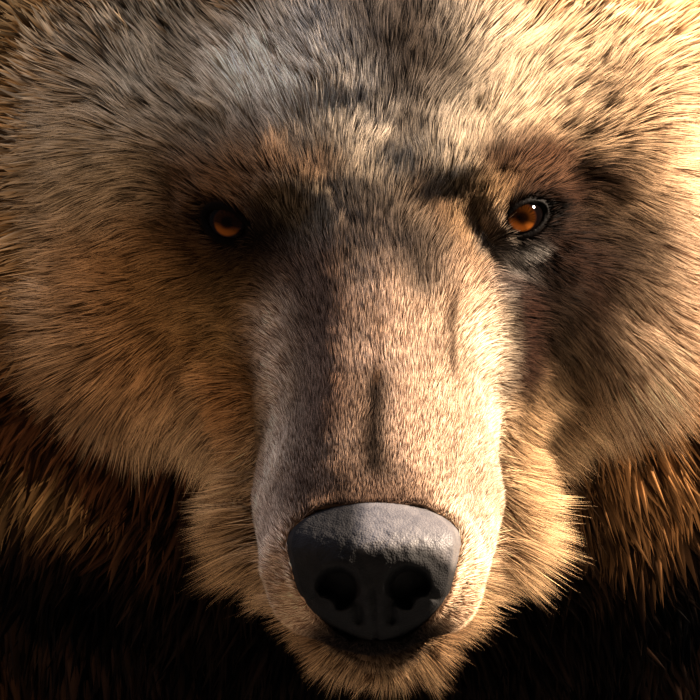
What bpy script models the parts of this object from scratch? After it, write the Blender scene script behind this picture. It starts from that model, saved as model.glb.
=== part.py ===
"""Adult male brown bear, life size, standing on four feet with its head lowered.

Lengths are in metres unless a table says mm. The bear faces -Y, its left side is +X and
it stands on Z = 0. The flesh is modelled whole, out to the tips of the coat: lofted
loops give the trunk, neck, head and limbs, rounded masses add the muscles, and a voxel
remesh and a smoothing join them. Thin planar cuts then part it into named pieces.
"""

import math

import bmesh
import bpy
import numpy as np
from mathutils import Matrix, Vector

MM = 0.001
CUT = 0.4 * MM  # width of the saw cut between two pieces
LOOP = 32  # points in a lofted loop
VOXEL = 6 * MM  # of the remesh that joins the flesh

# ---- driving dimensions ------------------------------------------------------------
EYES = Vector((0, -1010, 885)) * MM  # midway between the two eyes
HEAD_PITCH = math.radians(25)  # nose below the level of the eyes
HEAD_ROLL = math.radians(2.0)  # left eye above the right one
EYE_APART = 120 * MM
EYE_RADIUS = 11.5 * MM
EYE_BED = 6.5 * MM  # the face stands this far before an eye's middle
NOSE_WIDTH, NOSE_HEIGHT = 73 * MM, 57 * MM
FORE_TRACK, HIND_TRACK = 178 * MM, 196 * MM  # middle of a foot from the middle line
FORE_STEP = {1: -70 * MM, -1: 45 * MM}  # a foot forward of or behind its joint, by side
HIND_STEP = {1: 70 * MM, -1: -75 * MM}
FACES = 2990  # triangles of the whole flesh before it is parted

COATS = {  # sRGB, roughness
    "fur": ((0.47, 0.31, 0.17), 0.9),
    "face": ((0.62, 0.45, 0.28), 0.9),
    "dark": ((0.24, 0.15, 0.09), 0.9),
    "leather": ((0.05, 0.045, 0.05), 0.45),
    "claw": ((0.20, 0.16, 0.12), 0.4),
    "eye": ((0.30, 0.14, 0.05), 0.08),
}


def head_matrix():
    """The head's own frame: at rest its axes are the world's and the eyes are its origin."""
    roll = Matrix.Rotation(HEAD_ROLL, 4, "Y")
    pitch = Matrix.Rotation(HEAD_PITCH, 4, "X")
    return Matrix.Translation(EYES) @ pitch @ roll.inverted()


HEAD = head_matrix()
NOSE = HEAD @ Matrix.Translation(Vector((0, -156, -72)) * MM) @ Matrix.Rotation(math.radians(6), 4, "X")


# ---- Blender helpers ---------------------------------------------------------------
def clear_scene():
    for old in list(bpy.data.objects):
        bpy.data.objects.remove(old)


def material(name):
    found = bpy.data.materials.get(name)
    if found:
        return found
    colour, roughness = COATS[name]
    made = bpy.data.materials.new(name)
    made.use_nodes = True
    shader = made.node_tree.nodes["Principled BSDF"]
    linear = [c / 12.92 if c <= 0.04045 else ((c + 0.055) / 1.055) ** 2.4 for c in colour]
    shader.inputs["Base Color"].default_value = (*linear, 1.0)
    shader.inputs["Roughness"].default_value = roughness
    made.diffuse_color = (*linear, 1.0)
    return made


def new_object(name, mesh, finish=None):
    obj = bpy.data.objects.new(name, mesh)
    bpy.context.scene.collection.objects.link(obj)
    if finish:
        mesh.materials.clear()
        mesh.materials.append(material(finish))
    return obj


def from_bmesh(name, bm, finish=None):
    bmesh.ops.recalc_face_normals(bm, faces=bm.faces)
    mesh = bpy.data.meshes.new(name)
    bm.to_mesh(mesh)
    bm.free()
    return new_object(name, mesh, finish)


def evaluated(obj):
    """The mesh of obj with its modifiers applied."""
    graph = bpy.context.evaluated_depsgraph_get()
    return bpy.data.meshes.new_from_object(obj.evaluated_get(graph))


def remove(*objects):
    for obj in objects:
        bpy.data.objects.remove(obj)


# ---- shapes ------------------------------------------------------------------------
def signed_power(value, power):
    return math.copysign(abs(value) ** power, value)


def loop_points(half_width, up, down, round_up, round_down, narrowing, count=LOOP):
    """One closed loop in its own plane, as (across, height) pairs.

    Each half is a superellipse: round_up and round_down are its exponents, 2 for an
    ellipse and more for a squarer one. The upper half also narrows towards its top.
    """
    points = []
    for i in range(count):
        angle = 2 * math.pi * i / count
        sine, cosine = math.sin(angle), math.cos(angle)
        power = 2 / (round_up if sine > 0 else round_down)
        across = half_width * signed_power(cosine, power)
        rise = signed_power(sine, power)
        if sine > 0:
            across *= 1 - narrowing * rise
        points.append((across, rise * (up if sine > 0 else down)))
    return points


def smooth_rows(rows, count):
    """A table of stations read as smooth curves: count rows by a cubic through them."""
    rows = np.array(rows, float)
    last = len(rows) - 1
    places = np.linspace(0, last, count)
    made = []
    for place in places:
        i = min(int(place), last - 1)
        t = place - i
        p1, p2 = rows[i], rows[i + 1]
        p0 = rows[i - 1] if i > 0 else 2 * p1 - p2
        p3 = rows[i + 2] if i + 2 <= last else 2 * p2 - p1
        slope1, slope2 = (p2 - p0) / 2, (p3 - p1) / 2
        made.append(
            p1 * (2 * t**3 - 3 * t**2 + 1)
            + slope1 * (t**3 - 2 * t**2 + t)
            + p2 * (3 * t**2 - 2 * t**3)
            + slope2 * (t**3 - t**2)
        )
    return made


def bridge(name, loops):
    """Joins closed loops of points, one after another, and closes both ends."""
    bm = bmesh.new()
    rings = [[bm.verts.new(point) for point in loop] for loop in loops]
    for ring, following in zip(rings, rings[1:]):
        for i in range(len(ring)):
            j = (i + 1) % len(ring)
            bm.faces.new((ring[i], ring[j], following[j], following[i]))
    bm.faces.new(rings[0])
    bm.faces.new(list(reversed(rings[-1])))
    return from_bmesh(name, bm)


def loft_along_y(name, rows, count, matrix=Matrix(), around=LOOP):
    """Loops across the Y axis. Row, in mm: y, level, half width, up, down, and the
    exponents and narrowing of loop_points."""
    loops = []
    for y, level, half_width, up, down, round_up, round_down, narrowing in smooth_rows(rows, count):
        plane = loop_points(half_width, up, down, round_up, round_down, narrowing, around)
        loops.append([matrix @ (Vector((x, y, level + z)) * MM) for x, z in plane])
    return bridge(name, loops)


def loft_down(name, rows, count, side=1, shear=0.0, shear_top=0.85, around=LOOP):
    """Level loops down a limb. Row, in mm: x, y, z, half width across, half depth. The
    foot is carried shear forward or back of the joint, which lies at shear_top."""
    loops = []
    for x, y, z, half_width, half_depth in smooth_rows(rows, count):
        step = shear * (shear_top - z * MM) / shear_top / MM
        plane = loop_points(half_width, half_depth, half_depth, 2.1, 2.1, 0, around)
        loops.append([Vector((side * x + u, y + step + v, z)) * MM for u, v in plane])
    return bridge(name, loops)


def mass(name, centre, radii, turn=(0, 0, 0), matrix=Matrix(), fine=3):
    """A rounded mass: an ellipsoid with its centre and half sizes in mm, turned by
    degrees about X, Y and Z."""
    bm = bmesh.new()
    bmesh.ops.create_icosphere(bm, subdivisions=fine, radius=1)
    turned = Matrix.Rotation(math.radians(turn[2]), 4, "Z")
    turned @= Matrix.Rotation(math.radians(turn[1]), 4, "Y")
    turned @= Matrix.Rotation(math.radians(turn[0]), 4, "X")
    scale = Matrix.Diagonal((*(Vector(radii) * MM), 1))
    place = matrix @ Matrix.Translation(Vector(centre) * MM) @ turned @ scale
    bm.transform(place)
    return from_bmesh(name, bm)


# ---- the flesh, before it is parted ------------------------------------------------
TRUNK_ROWS = [  # y, level, half width, up, down, exponents up and down, narrowing
    (885, 800, 60, 70, 90, 2, 2, 0),
    (855, 800, 150, 140, 170, 2, 2, 0.05),
    (780, 790, 235, 215, 240, 2.1, 2.1, 0.1),
    (640, 775, 290, 270, 270, 2.2, 2.2, 0.12),
    (430, 765, 320, 280, 300, 2.2, 2.1, 0.12),
    (190, 755, 332, 280, 308, 2.2, 2.1, 0.12),
    (-50, 760, 327, 318, 285, 2.2, 2.1, 0.2),
    (-250, 780, 307, 385, 288, 2.1, 2.1, 0.34),
    (-400, 790, 285, 365, 275, 2.1, 2.2, 0.34),
    (-540, 815, 262, 300, 262, 2.1, 2.1, 0.22),
    (-680, 850, 238, 225, 240, 2.1, 2.1, 0.12),
    (-800, 880, 216, 160, 210, 2.1, 2.1, 0.1),
    (-880, 890, 178, 115, 165, 2.1, 2.1, 0.1),
]

HEAD_ROWS = [  # in the head's frame, from the nape to the front of the lips
    (215, 0, 156, 66, 136, 2.1, 2.1, 0),
    (165, -5, 172, 88, 152, 2.2, 2.2, 0.02),
    (125, -15, 178, 104, 150, 2.3, 2.3, 0.04),
    (90, -35, 177, 121, 130, 2.3, 2.4, 0.06),
    (58, -48, 165, 122, 114, 2.3, 2.4, 0.08),
    (30, -56, 144, 114, 104, 2.2, 2.3, 0.12),
    (5, -64, 112, 103, 88, 2.1, 2.3, 0.18),
    (-22, -70, 80, 87, 70, 2.2, 2.4, 0.26),
    (-50, -78, 62, 77, 52, 2.6, 2.5, 0.36),
    (-85, -83, 57, 66, 44, 2.9, 2.4, 0.38),
    (-120, -80, 53, 49, 43, 2.8, 2.2, 0.3),
    (-148, -74, 50, 31, 45, 2.6, 2.0, 0.18),
    (-158, -80, 41, 23, 37, 2.4, 2.0, 0.08),
    (-163, -90, 24, 12, 22, 2.2, 2.0, 0),
]

JAW_ROWS = [  # in the head's frame, from the throat to the chin
    (80, -110, 96, 20, 66, 2.2, 2.3, 0),
    (30, -110, 76, 18, 60, 2.3, 2.4, 0),
    (-20, -110, 58, 14, 52, 2.5, 2.5, 0),
    (-70, -112, 48, 10, 44, 2.5, 2.4, 0),
    (-110, -114, 38, 8, 37, 2.3, 2.3, 0),
    (-136, -115, 28, 6, 29, 2.2, 2.2, 0),
    (-152, -117, 15, 4, 17, 2.1, 2.1, 0),
]

FORE_ROWS = [  # x, y, z, half width, half depth
    (190, -250, 900, 104, 176),
    (205, -235, 740, 120, 172),
    (212, -215, 600, 116, 152),
    (204, -222, 480, 106, 128),
    (192, -240, 330, 92, 106),
    (182, -252, 190, 82, 92),
    (178, -262, 110, 80, 92),
    (178, -270, 45, 78, 90),
]

HIND_ROWS = [
    (185, 610, 880, 104, 195),
    (212, 590, 740, 134, 232),
    (226, 560, 610, 134, 220),
    (226, 545, 490, 120, 176),
    (214, 600, 350, 98, 124),
    (202, 665, 225, 84, 98),
    (197, 690, 130, 82, 94),
    (196, 690, 55, 78, 92),
]

# Toe, counted from the inner one: middle across the foot, how far the tip lies behind
# the longest toe's, and half width, in mm.
TOES = [(-68, 26, 20), (-35, 8, 22), (0, 0, 23), (35, 6, 22), (67, 22, 20)]
FOOT = {  # in mm: y of the longest toe's tip and of the heel, half width, claw length
    "fore": {"tip": -402, "heel": -205, "half": 92, "claw": 74},
    "hind": {"tip": 462, "heel": 752, "half": 86, "claw": 52},
}


def foot_places(kind, side):
    """(middle x, shift in y) of a foot in mm, with its leg's step."""
    track = FORE_TRACK if kind == "fore" else HIND_TRACK
    step = (FORE_STEP if kind == "fore" else HIND_STEP)[side]
    return side * track / MM, step / MM


def toe_places(kind, side):
    """(x, y of the tip, half width, outward slant) of each toe of a foot, in mm."""
    middle, shift = foot_places(kind, side)
    for across, behind, half in TOES:
        yield middle + side * across, FOOT[kind]["tip"] + shift + behind, half, across


def foot(kind, side):
    """The masses of one foot: instep, heel, and five toes."""
    sizes = FOOT[kind]
    middle, shift = foot_places(kind, side)
    tip, heel = sizes["tip"] + shift, sizes["heel"] + shift
    length = heel - tip
    name = f"{kind}_foot"
    made = [
        mass(name, (middle, tip + 0.36 * length, 34), (sizes["half"], 0.28 * length, 42)),
        mass(name, (middle, tip + 0.60 * length, 36), (sizes["half"] * 0.9, 0.36 * length, 62)),
        mass(name, (middle, heel - 0.26 * length, 34), (sizes["half"] * 0.86, 0.27 * length, 52)),
    ]
    for x, y, half, _ in toe_places(kind, side):
        made.append(mass(name, (x, y + 36, 26), (half + 2, 40, 29)))
    return made


def limbs():
    made = []
    for side in (1, -1):
        made.append(loft_down("foreleg", FORE_ROWS, 26, side, FORE_STEP[side], 0.9))
        made.append(loft_down("hind_leg", HIND_ROWS, 26, side, HIND_STEP[side], 0.88))
        made += foot("fore", side) + foot("hind", side)
        made.append(mass("shoulder", (side * 190, -250, 750), (118, 190, 260), (-8, side * -12, 0)))
        made.append(mass("elbow", (side * 215, -150 + FORE_STEP[side] / MM * 0.3, 610), (88, 90, 120)))
        made.append(mass("haunch", (side * 190, 630, 720), (130, 230, 265), (8, side * -10, 0)))
        made.append(mass("knee", (side * 232, 470 + HIND_STEP[side] / MM * 0.4, 520), (92, 110, 130)))
    return made


def torso():
    return [
        loft_along_y("trunk", TRUNK_ROWS, 48),
        mass("hump", (0, -310, 1008), (150, 240, 175), (6, 0, 0)),
        mass("breast", (0, -520, 700), (185, 150, 190), (20, 0, 0)),
    ]


def head_flesh():
    made = [
        loft_along_y("skull", HEAD_ROWS, 60, HEAD),
        loft_along_y("jaw", JAW_ROWS, 30, HEAD),
        mass("crown", (0, 100, 22), (118, 90, 72), matrix=HEAD),
    ]
    for side in (1, -1):
        made += [
            mass("brow", (side * 50, 10, 20), (38, 26, 18), (0, side * 14, 0), HEAD),
            mass("temple", (side * 98, 84, 2), (62, 72, 64), matrix=HEAD),
            mass("cheek", (side * 104, 62, -86), (68, 76, 68), matrix=HEAD),
            mass("ruff", (side * 134, 128, -78), (58, 72, 90), matrix=HEAD),
            mass("lip", (side * 28, -98, -93), (22, 52, 21), matrix=HEAD),
            mass("jowl", (side * 46, -28, -112), (29, 60, 38), matrix=HEAD),
        ]
    return made


def joined(name, objects, voxel):
    """One closed mesh from overlapping ones, by a voxel remesh."""
    bm = bmesh.new()
    for obj in objects:
        bm.from_mesh(obj.data)
    whole = from_bmesh(name, bm)
    remove(*objects)
    remesh = whole.modifiers.new("Remesh", "REMESH")
    remesh.mode = "VOXEL"
    remesh.voxel_size = voxel
    mesh = evaluated(whole)
    remove(whole)
    return new_object(name, mesh)


def weights_of(obj, name, values):
    """A vertex group with one weight for each vertex."""
    group = obj.vertex_groups.new(name=name)
    for step in range(0, 21):
        chosen = np.nonzero(np.round(values * 20) == step)[0]
        if len(chosen):
            group.add(chosen.tolist(), step / 20, "REPLACE")
    return group


def vertices_of(mesh):
    found = np.empty(len(mesh.vertices) * 3, np.float32)
    mesh.vertices.foreach_get("co", found)
    return found.reshape(-1, 3)


def in_head_frame(places):
    """World places as places in the head's frame."""
    turned = np.array(HEAD.inverted())
    return places @ turned[:3, :3].T + turned[:3, 3]


def smoothed(obj):
    """Blends the masses into each other: most on the body, a little on the muzzle."""
    places = vertices_of(obj.data)
    local_y = in_head_frame(places)[:, 1]
    on_head = np.clip((230 * MM - local_y) / (60 * MM), 0, 1) * (places[:, 2] > 0.45)
    legs = np.clip((places[:, 2] - 0.09) / 0.2, 0, 1)
    weights_of(obj, "body", (1 - on_head) * legs)
    weights_of(obj, "face", on_head * np.clip((local_y + 30 * MM) / (60 * MM), 0, 1))
    weights_of(obj, "trunk", (1 - on_head) * np.clip((places[:, 2] - 0.55) / 0.2, 0, 1))
    rounds_of = (("All", 4, None), ("Face", 26, "face"), ("Body", 80, "body"), ("Trunk", 160, "trunk"))
    for name, rounds, group in rounds_of:
        smooth = obj.modifiers.new(name, "SMOOTH")
        smooth.factor = 0.5
        smooth.iterations = rounds
        if group:
            smooth.vertex_group = group
    mesh = evaluated(obj)
    remove(obj)
    return new_object("flesh", mesh)


def with_eye_beds(obj):
    """Brings the face round each eye to a smooth bed, a little behind the eye's front."""
    turn = np.array(HEAD.to_3x3())
    places = vertices_of(obj.data).astype(float)
    for side in (1, -1):
        gaze = np.array((side * 0.34, -0.9, 0.26))
        gaze = turn @ (gaze / np.linalg.norm(gaze))
        away = places - np.array(HEAD @ Vector((side * EYE_APART / 2, 0, 0)))
        along = away @ gaze
        radius = np.linalg.norm(away - along[:, None] * gaze, axis=1)
        near = np.clip((34 * MM - radius) / (22 * MM), 0, 1) * (along > -30 * MM)
        near = near * near * (3 - 2 * near)
        bed = EYE_BED + 0.1 * np.maximum(radius - 12 * MM, 0)
        places += (near * (bed - along))[:, None] * gaze
    obj.data.vertices.foreach_set("co", places.astype(np.float32).ravel())
    return obj


def thinned(obj, faces):
    """The same surface in this many triangles."""
    thin = obj.modifiers.new("Thin", "DECIMATE")
    thin.ratio = faces / sum(len(p.vertices) - 2 for p in obj.data.polygons)
    mesh = evaluated(obj)
    remove(obj)
    return new_object("flesh", mesh)


def flat_soles(obj):
    """Cuts the feet level, so that the bear stands on small flats at Z = 0."""
    floor = room([((0, 0, 0), (0, 0, -1))], 0)
    mesh = boolean(obj, floor, "INTERSECT")
    remove(obj, floor)
    return new_object("flesh", mesh)


def flesh():
    """The whole bear, but for its ears and tail, in one mesh."""
    whole = joined("flesh", torso() + limbs() + head_flesh(), VOXEL)
    return flat_soles(thinned(with_eye_beds(smoothed(whole)), FACES))


# ---- parting the flesh -------------------------------------------------------------
def room(planes, gap):
    """A convex room inside planes, each a point and a normal pointing out of the room.
    gap moves every plane out, or in if it is negative."""
    bm = bmesh.new()
    bmesh.ops.create_cube(bm, size=6)
    for point, normal in planes:
        normal = Vector(normal).normalized()
        bmesh.ops.bisect_plane(
            bm,
            geom=bm.verts[:] + bm.edges[:] + bm.faces[:],
            plane_co=Vector(point) + normal * gap,
            plane_no=normal,
            clear_outer=True,
        )
        bmesh.ops.holes_fill(bm, edges=[edge for edge in bm.edges if edge.is_boundary])
    return from_bmesh("room", bm)


def boolean(obj, cutter, operation):
    """The mesh that a Boolean of obj and cutter leaves."""
    cut = obj.modifiers.new(operation, "BOOLEAN")
    cut.operation = operation
    cut.solver = "EXACT"
    cut.object = cutter
    mesh = evaluated(obj)
    obj.modifiers.remove(cut)
    return mesh


def part_off(rest, name, finish, planes):
    """Cuts the piece inside the planes off rest, and returns what is left of rest."""
    tight, wide = room(planes, -CUT / 2), room(planes, CUT / 2)
    piece = new_object(name, boolean(rest, tight, "INTERSECT"), finish)
    left = new_object("rest", boolean(rest, wide, "DIFFERENCE"))
    remove(tight, wide, rest)
    left.name = "flesh"
    return piece, left


def carve(obj, cutter):
    """Takes cutter out of obj for good."""
    mesh = boolean(obj, cutter, "DIFFERENCE")
    name, finish = obj.name, obj.data.materials[0].name
    remove(obj, cutter)
    return new_object(name, mesh, finish)


def in_head(planes):
    """Planes given in the head's frame, in mm, as planes of the world."""
    turn = HEAD.to_3x3()
    return [(HEAD @ (Vector(p) * MM), turn @ Vector(n)) for p, n in planes]


LIMBS = {  # planes that hold a whole limb: point and outward normal, in mm, for the left
    "fore": [
        ((70, 0, 0), (-1, 0, 0)),
        ((100, 0, 520), (-1.1, 0, 1)),
        ((0, -440, 700), (0, -1, 0.2)),
        ((0, -50, 700), (0, 1, 0.1)),
    ],
    "hind": [((66, 0, 0), (-1, 0, 0)), ((100, 0, 500), (-1.2, 0, 1)), ((0, 320, 700), (0, -1, 0.1))],
}
LENGTHS = {  # name, finish, and where each length of a limb starts, in mm from the floor
    "fore": [("fore_paw", "dark", None), ("forearm", "dark", 150), ("upper_arm", "fur", 470)],
    "hind": [("hind_paw", "dark", None), ("shank", "dark", 150), ("thigh", "fur", 420)],
}
SIDES = {1: "left", -1: "right"}


def part_limb(rest, kind, side):
    """Cuts a limb off rest and across into its lengths. Returns them and what is left."""
    planes = [
        ((side * point[0] * MM, point[1] * MM, point[2] * MM), (side * normal[0], *normal[1:]))
        for point, normal in LIMBS[kind]
    ]
    limb, rest = part_off(rest, "limb", "fur", planes)
    lengths = {}
    for i, (name, finish, _) in enumerate(LENGTHS[kind]):
        bottom = LENGTHS[kind][i][2]
        top = LENGTHS[kind][i + 1][2] if i < 2 else None
        planes = [((0, 0, bottom * MM), (0, 0, -1))] if bottom else []
        planes += [((0, 0, top * MM), (0, 0, 1))] if top else []
        between = room(planes, -CUT / 2)
        full = f"{name}_{SIDES[side]}"
        lengths[full] = new_object(full, boolean(limb, between, "INTERSECT"), finish)
        remove(between)
    remove(limb)
    return lengths, rest


def part_flesh(rest):
    """Cuts the flesh into its named pieces and returns them by name."""
    pieces = {}
    for side in SIDES:
        for kind in LIMBS:
            lengths, rest = part_limb(rest, kind, side)
            pieces.update(lengths)
    above = [((0, 0, 0.47), (0, 0, -1))]
    mouth = [((0, -160, -111), (0, -0.05, 1)), ((0, -4, 0), (0, 1, 0.35))]
    mouth += [((60, 0, 0), (1, 0, 0)), ((-60, 0, 0), (-1, 0, 0))]
    for name, finish, planes in (
        ("lower_jaw", "face", in_head(mouth) + above),
        ("head", "face", in_head([((0, 176, 0), (0, 1, 0))]) + above),
        ("neck", "fur", [((0, -0.56, 0.8), (0, 1, 0.22))] + above),
    ):
        pieces[name], rest = part_off(rest, name, finish, planes)
    rest.name = "trunk"
    rest.data.materials.clear()
    rest.data.materials.append(material("fur"))
    pieces["trunk"] = rest
    return pieces


# ---- eyes, nose and claws ----------------------------------------------------------
def sphere(name, centre, radius, finish=None, segments=14):
    bm = bmesh.new()
    bmesh.ops.create_uvsphere(bm, u_segments=segments, v_segments=segments // 2, radius=radius)
    bmesh.ops.translate(bm, verts=bm.verts, vec=centre)
    return from_bmesh(name, bm, finish)


def set_eyes(pieces):
    """Each eye is a ball in its own socket."""
    for side, word in SIDES.items():
        centre = HEAD @ Vector((side * EYE_APART / 2, 0, 0))
        pieces["head"] = carve(pieces["head"], sphere("socket", centre, EYE_RADIUS + CUT))
        pieces[f"eye_{word}"] = sphere(f"eye_{word}", centre, EYE_RADIUS, "eye")


def set_ears(pieces):
    """Round ears, hollow in front, each standing in a seat of the head."""
    for side, word in SIDES.items():
        middle, turn = (side * 118, 134, 92), (-6, side * 24, side * 26)
        ear = mass("ear", middle, (52, 25, 58), turn, HEAD, 2)
        seat = mass("seat", middle, (52 + CUT / MM, 25 + CUT / MM, 58 + CUT / MM), turn, HEAD, 2)
        ear.data.materials.append(material("fur"))
        front = (side * 130, 106, 108)
        ear = carve(ear, mass("bowl", front, (35, 20, 38), turn, HEAD, 2))
        ear.name = f"ear_{word}"
        pieces["head"] = carve(pieces["head"], seat)
        pieces[ear.name] = ear


def tail(name, grow):
    """A short tail that hangs from the rump. grow widens it, in mm."""
    rows = [
        (0, 836, 912, 40, 26),
        (0, 880, 896, 50, 34),
        (0, 912, 856, 50, 34),
        (0, 924, 812, 42, 30),
        (0, 922, 780, 24, 18),
        (0, 918, 768, 8, 6),
    ]
    rows = [(x, y, z, across + grow, deep + grow) for x, y, z, across, deep in rows]
    return loft_down(name, rows, 7, around=12)


def set_tail(pieces):
    pieces["tail"] = tail("tail", 0)
    pieces["tail"].data.materials.append(material("fur"))
    pieces["trunk"] = carve(pieces["trunk"], tail("seat", CUT / MM))


def nose_block(grow):
    """The nose pad: a rounded wedge, broad above and narrow below. grow widens it, in mm."""
    half, high = NOSE_WIDTH / 2 / MM + grow, NOSE_HEIGHT / 2 / MM + grow
    rows = [
        (22 + grow, 2, half * 0.96, high * 0.92, high, 2.8, 2.0, 0.12),
        (0, 0, half, high, high, 2.8, 1.8, 0.14),
        (-10, -1, half * 0.95, high * 0.92, high * 0.94, 2.7, 1.7, 0.16),
        (-17 - grow, -2, half * 0.78, high * 0.7, high * 0.76, 2.5, 1.7, 0.12),
        (-20 - grow, -3, half * 0.4, high * 0.34, high * 0.36, 2.2, 1.8, 0),
    ]
    return loft_along_y("nose", rows, 6, NOSE, 18)


def set_nose(pieces):
    """The nose pad in its seat, with a pit for each nostril."""
    pieces["head"] = carve(pieces["head"], nose_block(CUT / MM))
    nose = nose_block(0)
    nose.data.materials.append(material("leather"))
    for side in (1, -1):
        pit = mass("pit", (side * 14, -19, 7), (8.5, 14, 10), (0, side * 24, 0), NOSE, 2)
        nose = carve(nose, pit)
    pieces["nose"] = nose


def claw(name, root, length, slant, share=1.0, grow=0.0):
    """A claw: loops that shrink along an arc, which turns down towards its tip. share
    is how much of it from the root is built, and grow widens it, in mm."""
    loops = []
    steps, around, half_width, half_height = 4, 6, 5.2, 6.6
    fall = math.radians(58)  # how far the arc turns
    radius = length / fall
    root = Vector(root) + Vector((0, grow, 0))
    for i in range(round(steps * share) + 1):
        t = i / steps
        angle = fall * t
        y = -radius * math.sin(angle)
        z = radius * (math.cos(angle) - 1)
        size = (1 - t) ** 0.7 * 0.96 + 0.04
        ring = []
        for k in range(around):
            turn = 2 * math.pi * k / around
            across = math.cos(turn) * (half_width * size + grow)
            rise = math.sin(turn) * (half_height * size + grow)
            ring.append(
                Vector((across + slant * t, y - rise * math.sin(angle), z + rise * math.cos(angle)))
            )
        loops.append([(root + point) * MM for point in ring])
    return bridge(name, loops)


def set_claws(pieces):
    """Five claws for each foot, each in a socket cut in its paw, 1 the inner one."""
    for side, word in SIDES.items():
        for kind in ("fore", "hind"):
            for i, (x, y, _, across) in enumerate(toe_places(kind, side), 1):
                root = (x, y + 12, 40 if kind == "fore" else 31)
                shape = (root, FOOT[kind]["claw"], side * across * 0.06)
                name, paw = f"{kind}_claw_{word}_{i}", f"{kind}_paw_{word}"
                pieces[name] = claw(name, *shape)
                pieces[name].data.materials.append(material("claw"))
                pieces[paw] = carve(pieces[paw], claw("seat", *shape, 0.5, CUT / MM))


def centre_on_floor(objects):
    """Puts the origin under the middle of the bear's box, on the floor."""
    lows = np.min([vertices_of(o.data).min(0) for o in objects], axis=0)
    highs = np.max([vertices_of(o.data).max(0) for o in objects], axis=0)
    middle = (lows + highs) / 2
    for obj in objects:
        obj.data.transform(Matrix.Translation((-middle[0], -middle[1], -lows[2])))


def main():
    clear_scene()
    pieces = part_flesh(flesh())
    set_eyes(pieces)
    set_nose(pieces)
    set_ears(pieces)
    set_tail(pieces)
    set_claws(pieces)
    centre_on_floor(list(pieces.values()))
    for obj in pieces.values():
        obj.data.shade_smooth()
        obj.data.set_sharp_from_angle(angle=math.radians(50))


main()
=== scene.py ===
"""A still, life-size brown bear standing on all fours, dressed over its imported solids.

One skin runs over the whole animal, just under the outline of the solids, and a coat of solid
tufts covers it. Eyes, nose leather and claws are pieces of their own. Lengths are metres in the
frame of the solids, unless a name or a comment says millimetres in the head's own frame.
"""

import logging
import math
from dataclasses import dataclass
from enum import Enum
from typing import Iterator, Sequence

import bmesh
import bpy
import numpy as np
from mathutils import Matrix, Vector
from mathutils.bvhtree import BVHTree
from mathutils.kdtree import KDTree


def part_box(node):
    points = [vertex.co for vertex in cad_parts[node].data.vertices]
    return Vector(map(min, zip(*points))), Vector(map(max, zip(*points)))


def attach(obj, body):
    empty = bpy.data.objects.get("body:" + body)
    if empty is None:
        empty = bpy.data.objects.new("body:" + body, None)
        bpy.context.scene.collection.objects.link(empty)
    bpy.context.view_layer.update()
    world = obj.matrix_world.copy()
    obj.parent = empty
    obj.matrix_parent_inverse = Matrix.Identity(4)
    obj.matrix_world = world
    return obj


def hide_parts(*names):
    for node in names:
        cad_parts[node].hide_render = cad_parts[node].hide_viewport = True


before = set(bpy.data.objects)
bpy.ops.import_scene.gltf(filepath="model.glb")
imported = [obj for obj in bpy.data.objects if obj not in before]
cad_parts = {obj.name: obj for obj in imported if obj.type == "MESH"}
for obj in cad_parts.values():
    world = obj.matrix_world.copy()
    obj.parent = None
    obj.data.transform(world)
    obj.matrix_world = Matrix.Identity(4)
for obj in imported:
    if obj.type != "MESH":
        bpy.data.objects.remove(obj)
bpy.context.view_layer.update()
LOG = logging.getLogger("bear")
MM = 0.001
BODY = "root"
HEAD_PITCH = math.radians(25)
BAKE_MAP = "OFBake"
BAKE_PATCH = 0.003
MIRROR = (-1, 1, 1)


class Side(Enum):
    """A side of the bear, as the sign of x."""

    LEFT = 1
    RIGHT = -1


def linear(code: str) -> tuple[float, float, float]:
    """Turn an sRGB hex code into linear red, green and blue."""
    parts = [int(code[i:i + 2], 16) / 255 for i in (0, 2, 4)]
    return tuple(c / 12.92 if c <= 0.04045 else ((c + 0.055) / 1.055) ** 2.4 for c in parts)


def add(tree: bpy.types.NodeTree, kind: str, settings: dict | None = None,
        inputs: dict | None = None) -> bpy.types.Node:
    """Add a shader node with its settings, values and links.

    Args:
        tree: the node tree that gets the node.
        kind: the node's type without its "ShaderNode" start.
        settings: the node's own properties by name.
        inputs: values, or sockets to link, by input name or number.

    Returns:
        The new node.
    """
    node = tree.nodes.new("ShaderNode" + kind)
    for key, value in (settings or {}).items():
        setattr(node, key, value)
    for key, value in (inputs or {}).items():
        if isinstance(value, bpy.types.NodeSocket):
            tree.links.new(value, node.inputs[key])
        else:
            node.inputs[key].default_value = value
    return node


def new_material(name: str) -> tuple[bpy.types.Material, bpy.types.NodeTree]:
    """Make an empty node material, named for the real one, and give its tree too."""
    material = bpy.data.materials.new(name)
    material.use_nodes = True
    material.node_tree.nodes.clear()
    return material, material.node_tree


def principled(tree: bpy.types.NodeTree, inputs: dict) -> None:
    """Add the shader of a material with its inputs, and the output that shows it."""
    shader = add(tree, "BsdfPrincipled", inputs=inputs)
    add(tree, "OutputMaterial", inputs={"Surface": shader.outputs[0]})


def unit(vectors: np.ndarray) -> np.ndarray:
    """Scale each row to length one."""
    return vectors / np.maximum(np.linalg.norm(vectors, axis=-1, keepdims=True), 1e-12)


def smoothstep(low: float, high: float, value: np.ndarray) -> np.ndarray:
    """Rise from 0 at low to 1 at high along 3t^2 - 2t^3."""
    t = np.clip((value - low) / (high - low), 0.0, 1.0)
    return t * t * (3.0 - 2.0 * t)


def bell(value: np.ndarray, width: float, top: float = 0.0) -> np.ndarray:
    """Fall off on both sides of a top as exp(-((value - top) / width)^2)."""
    return np.exp(-((value - top) / width) ** 2)


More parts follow.
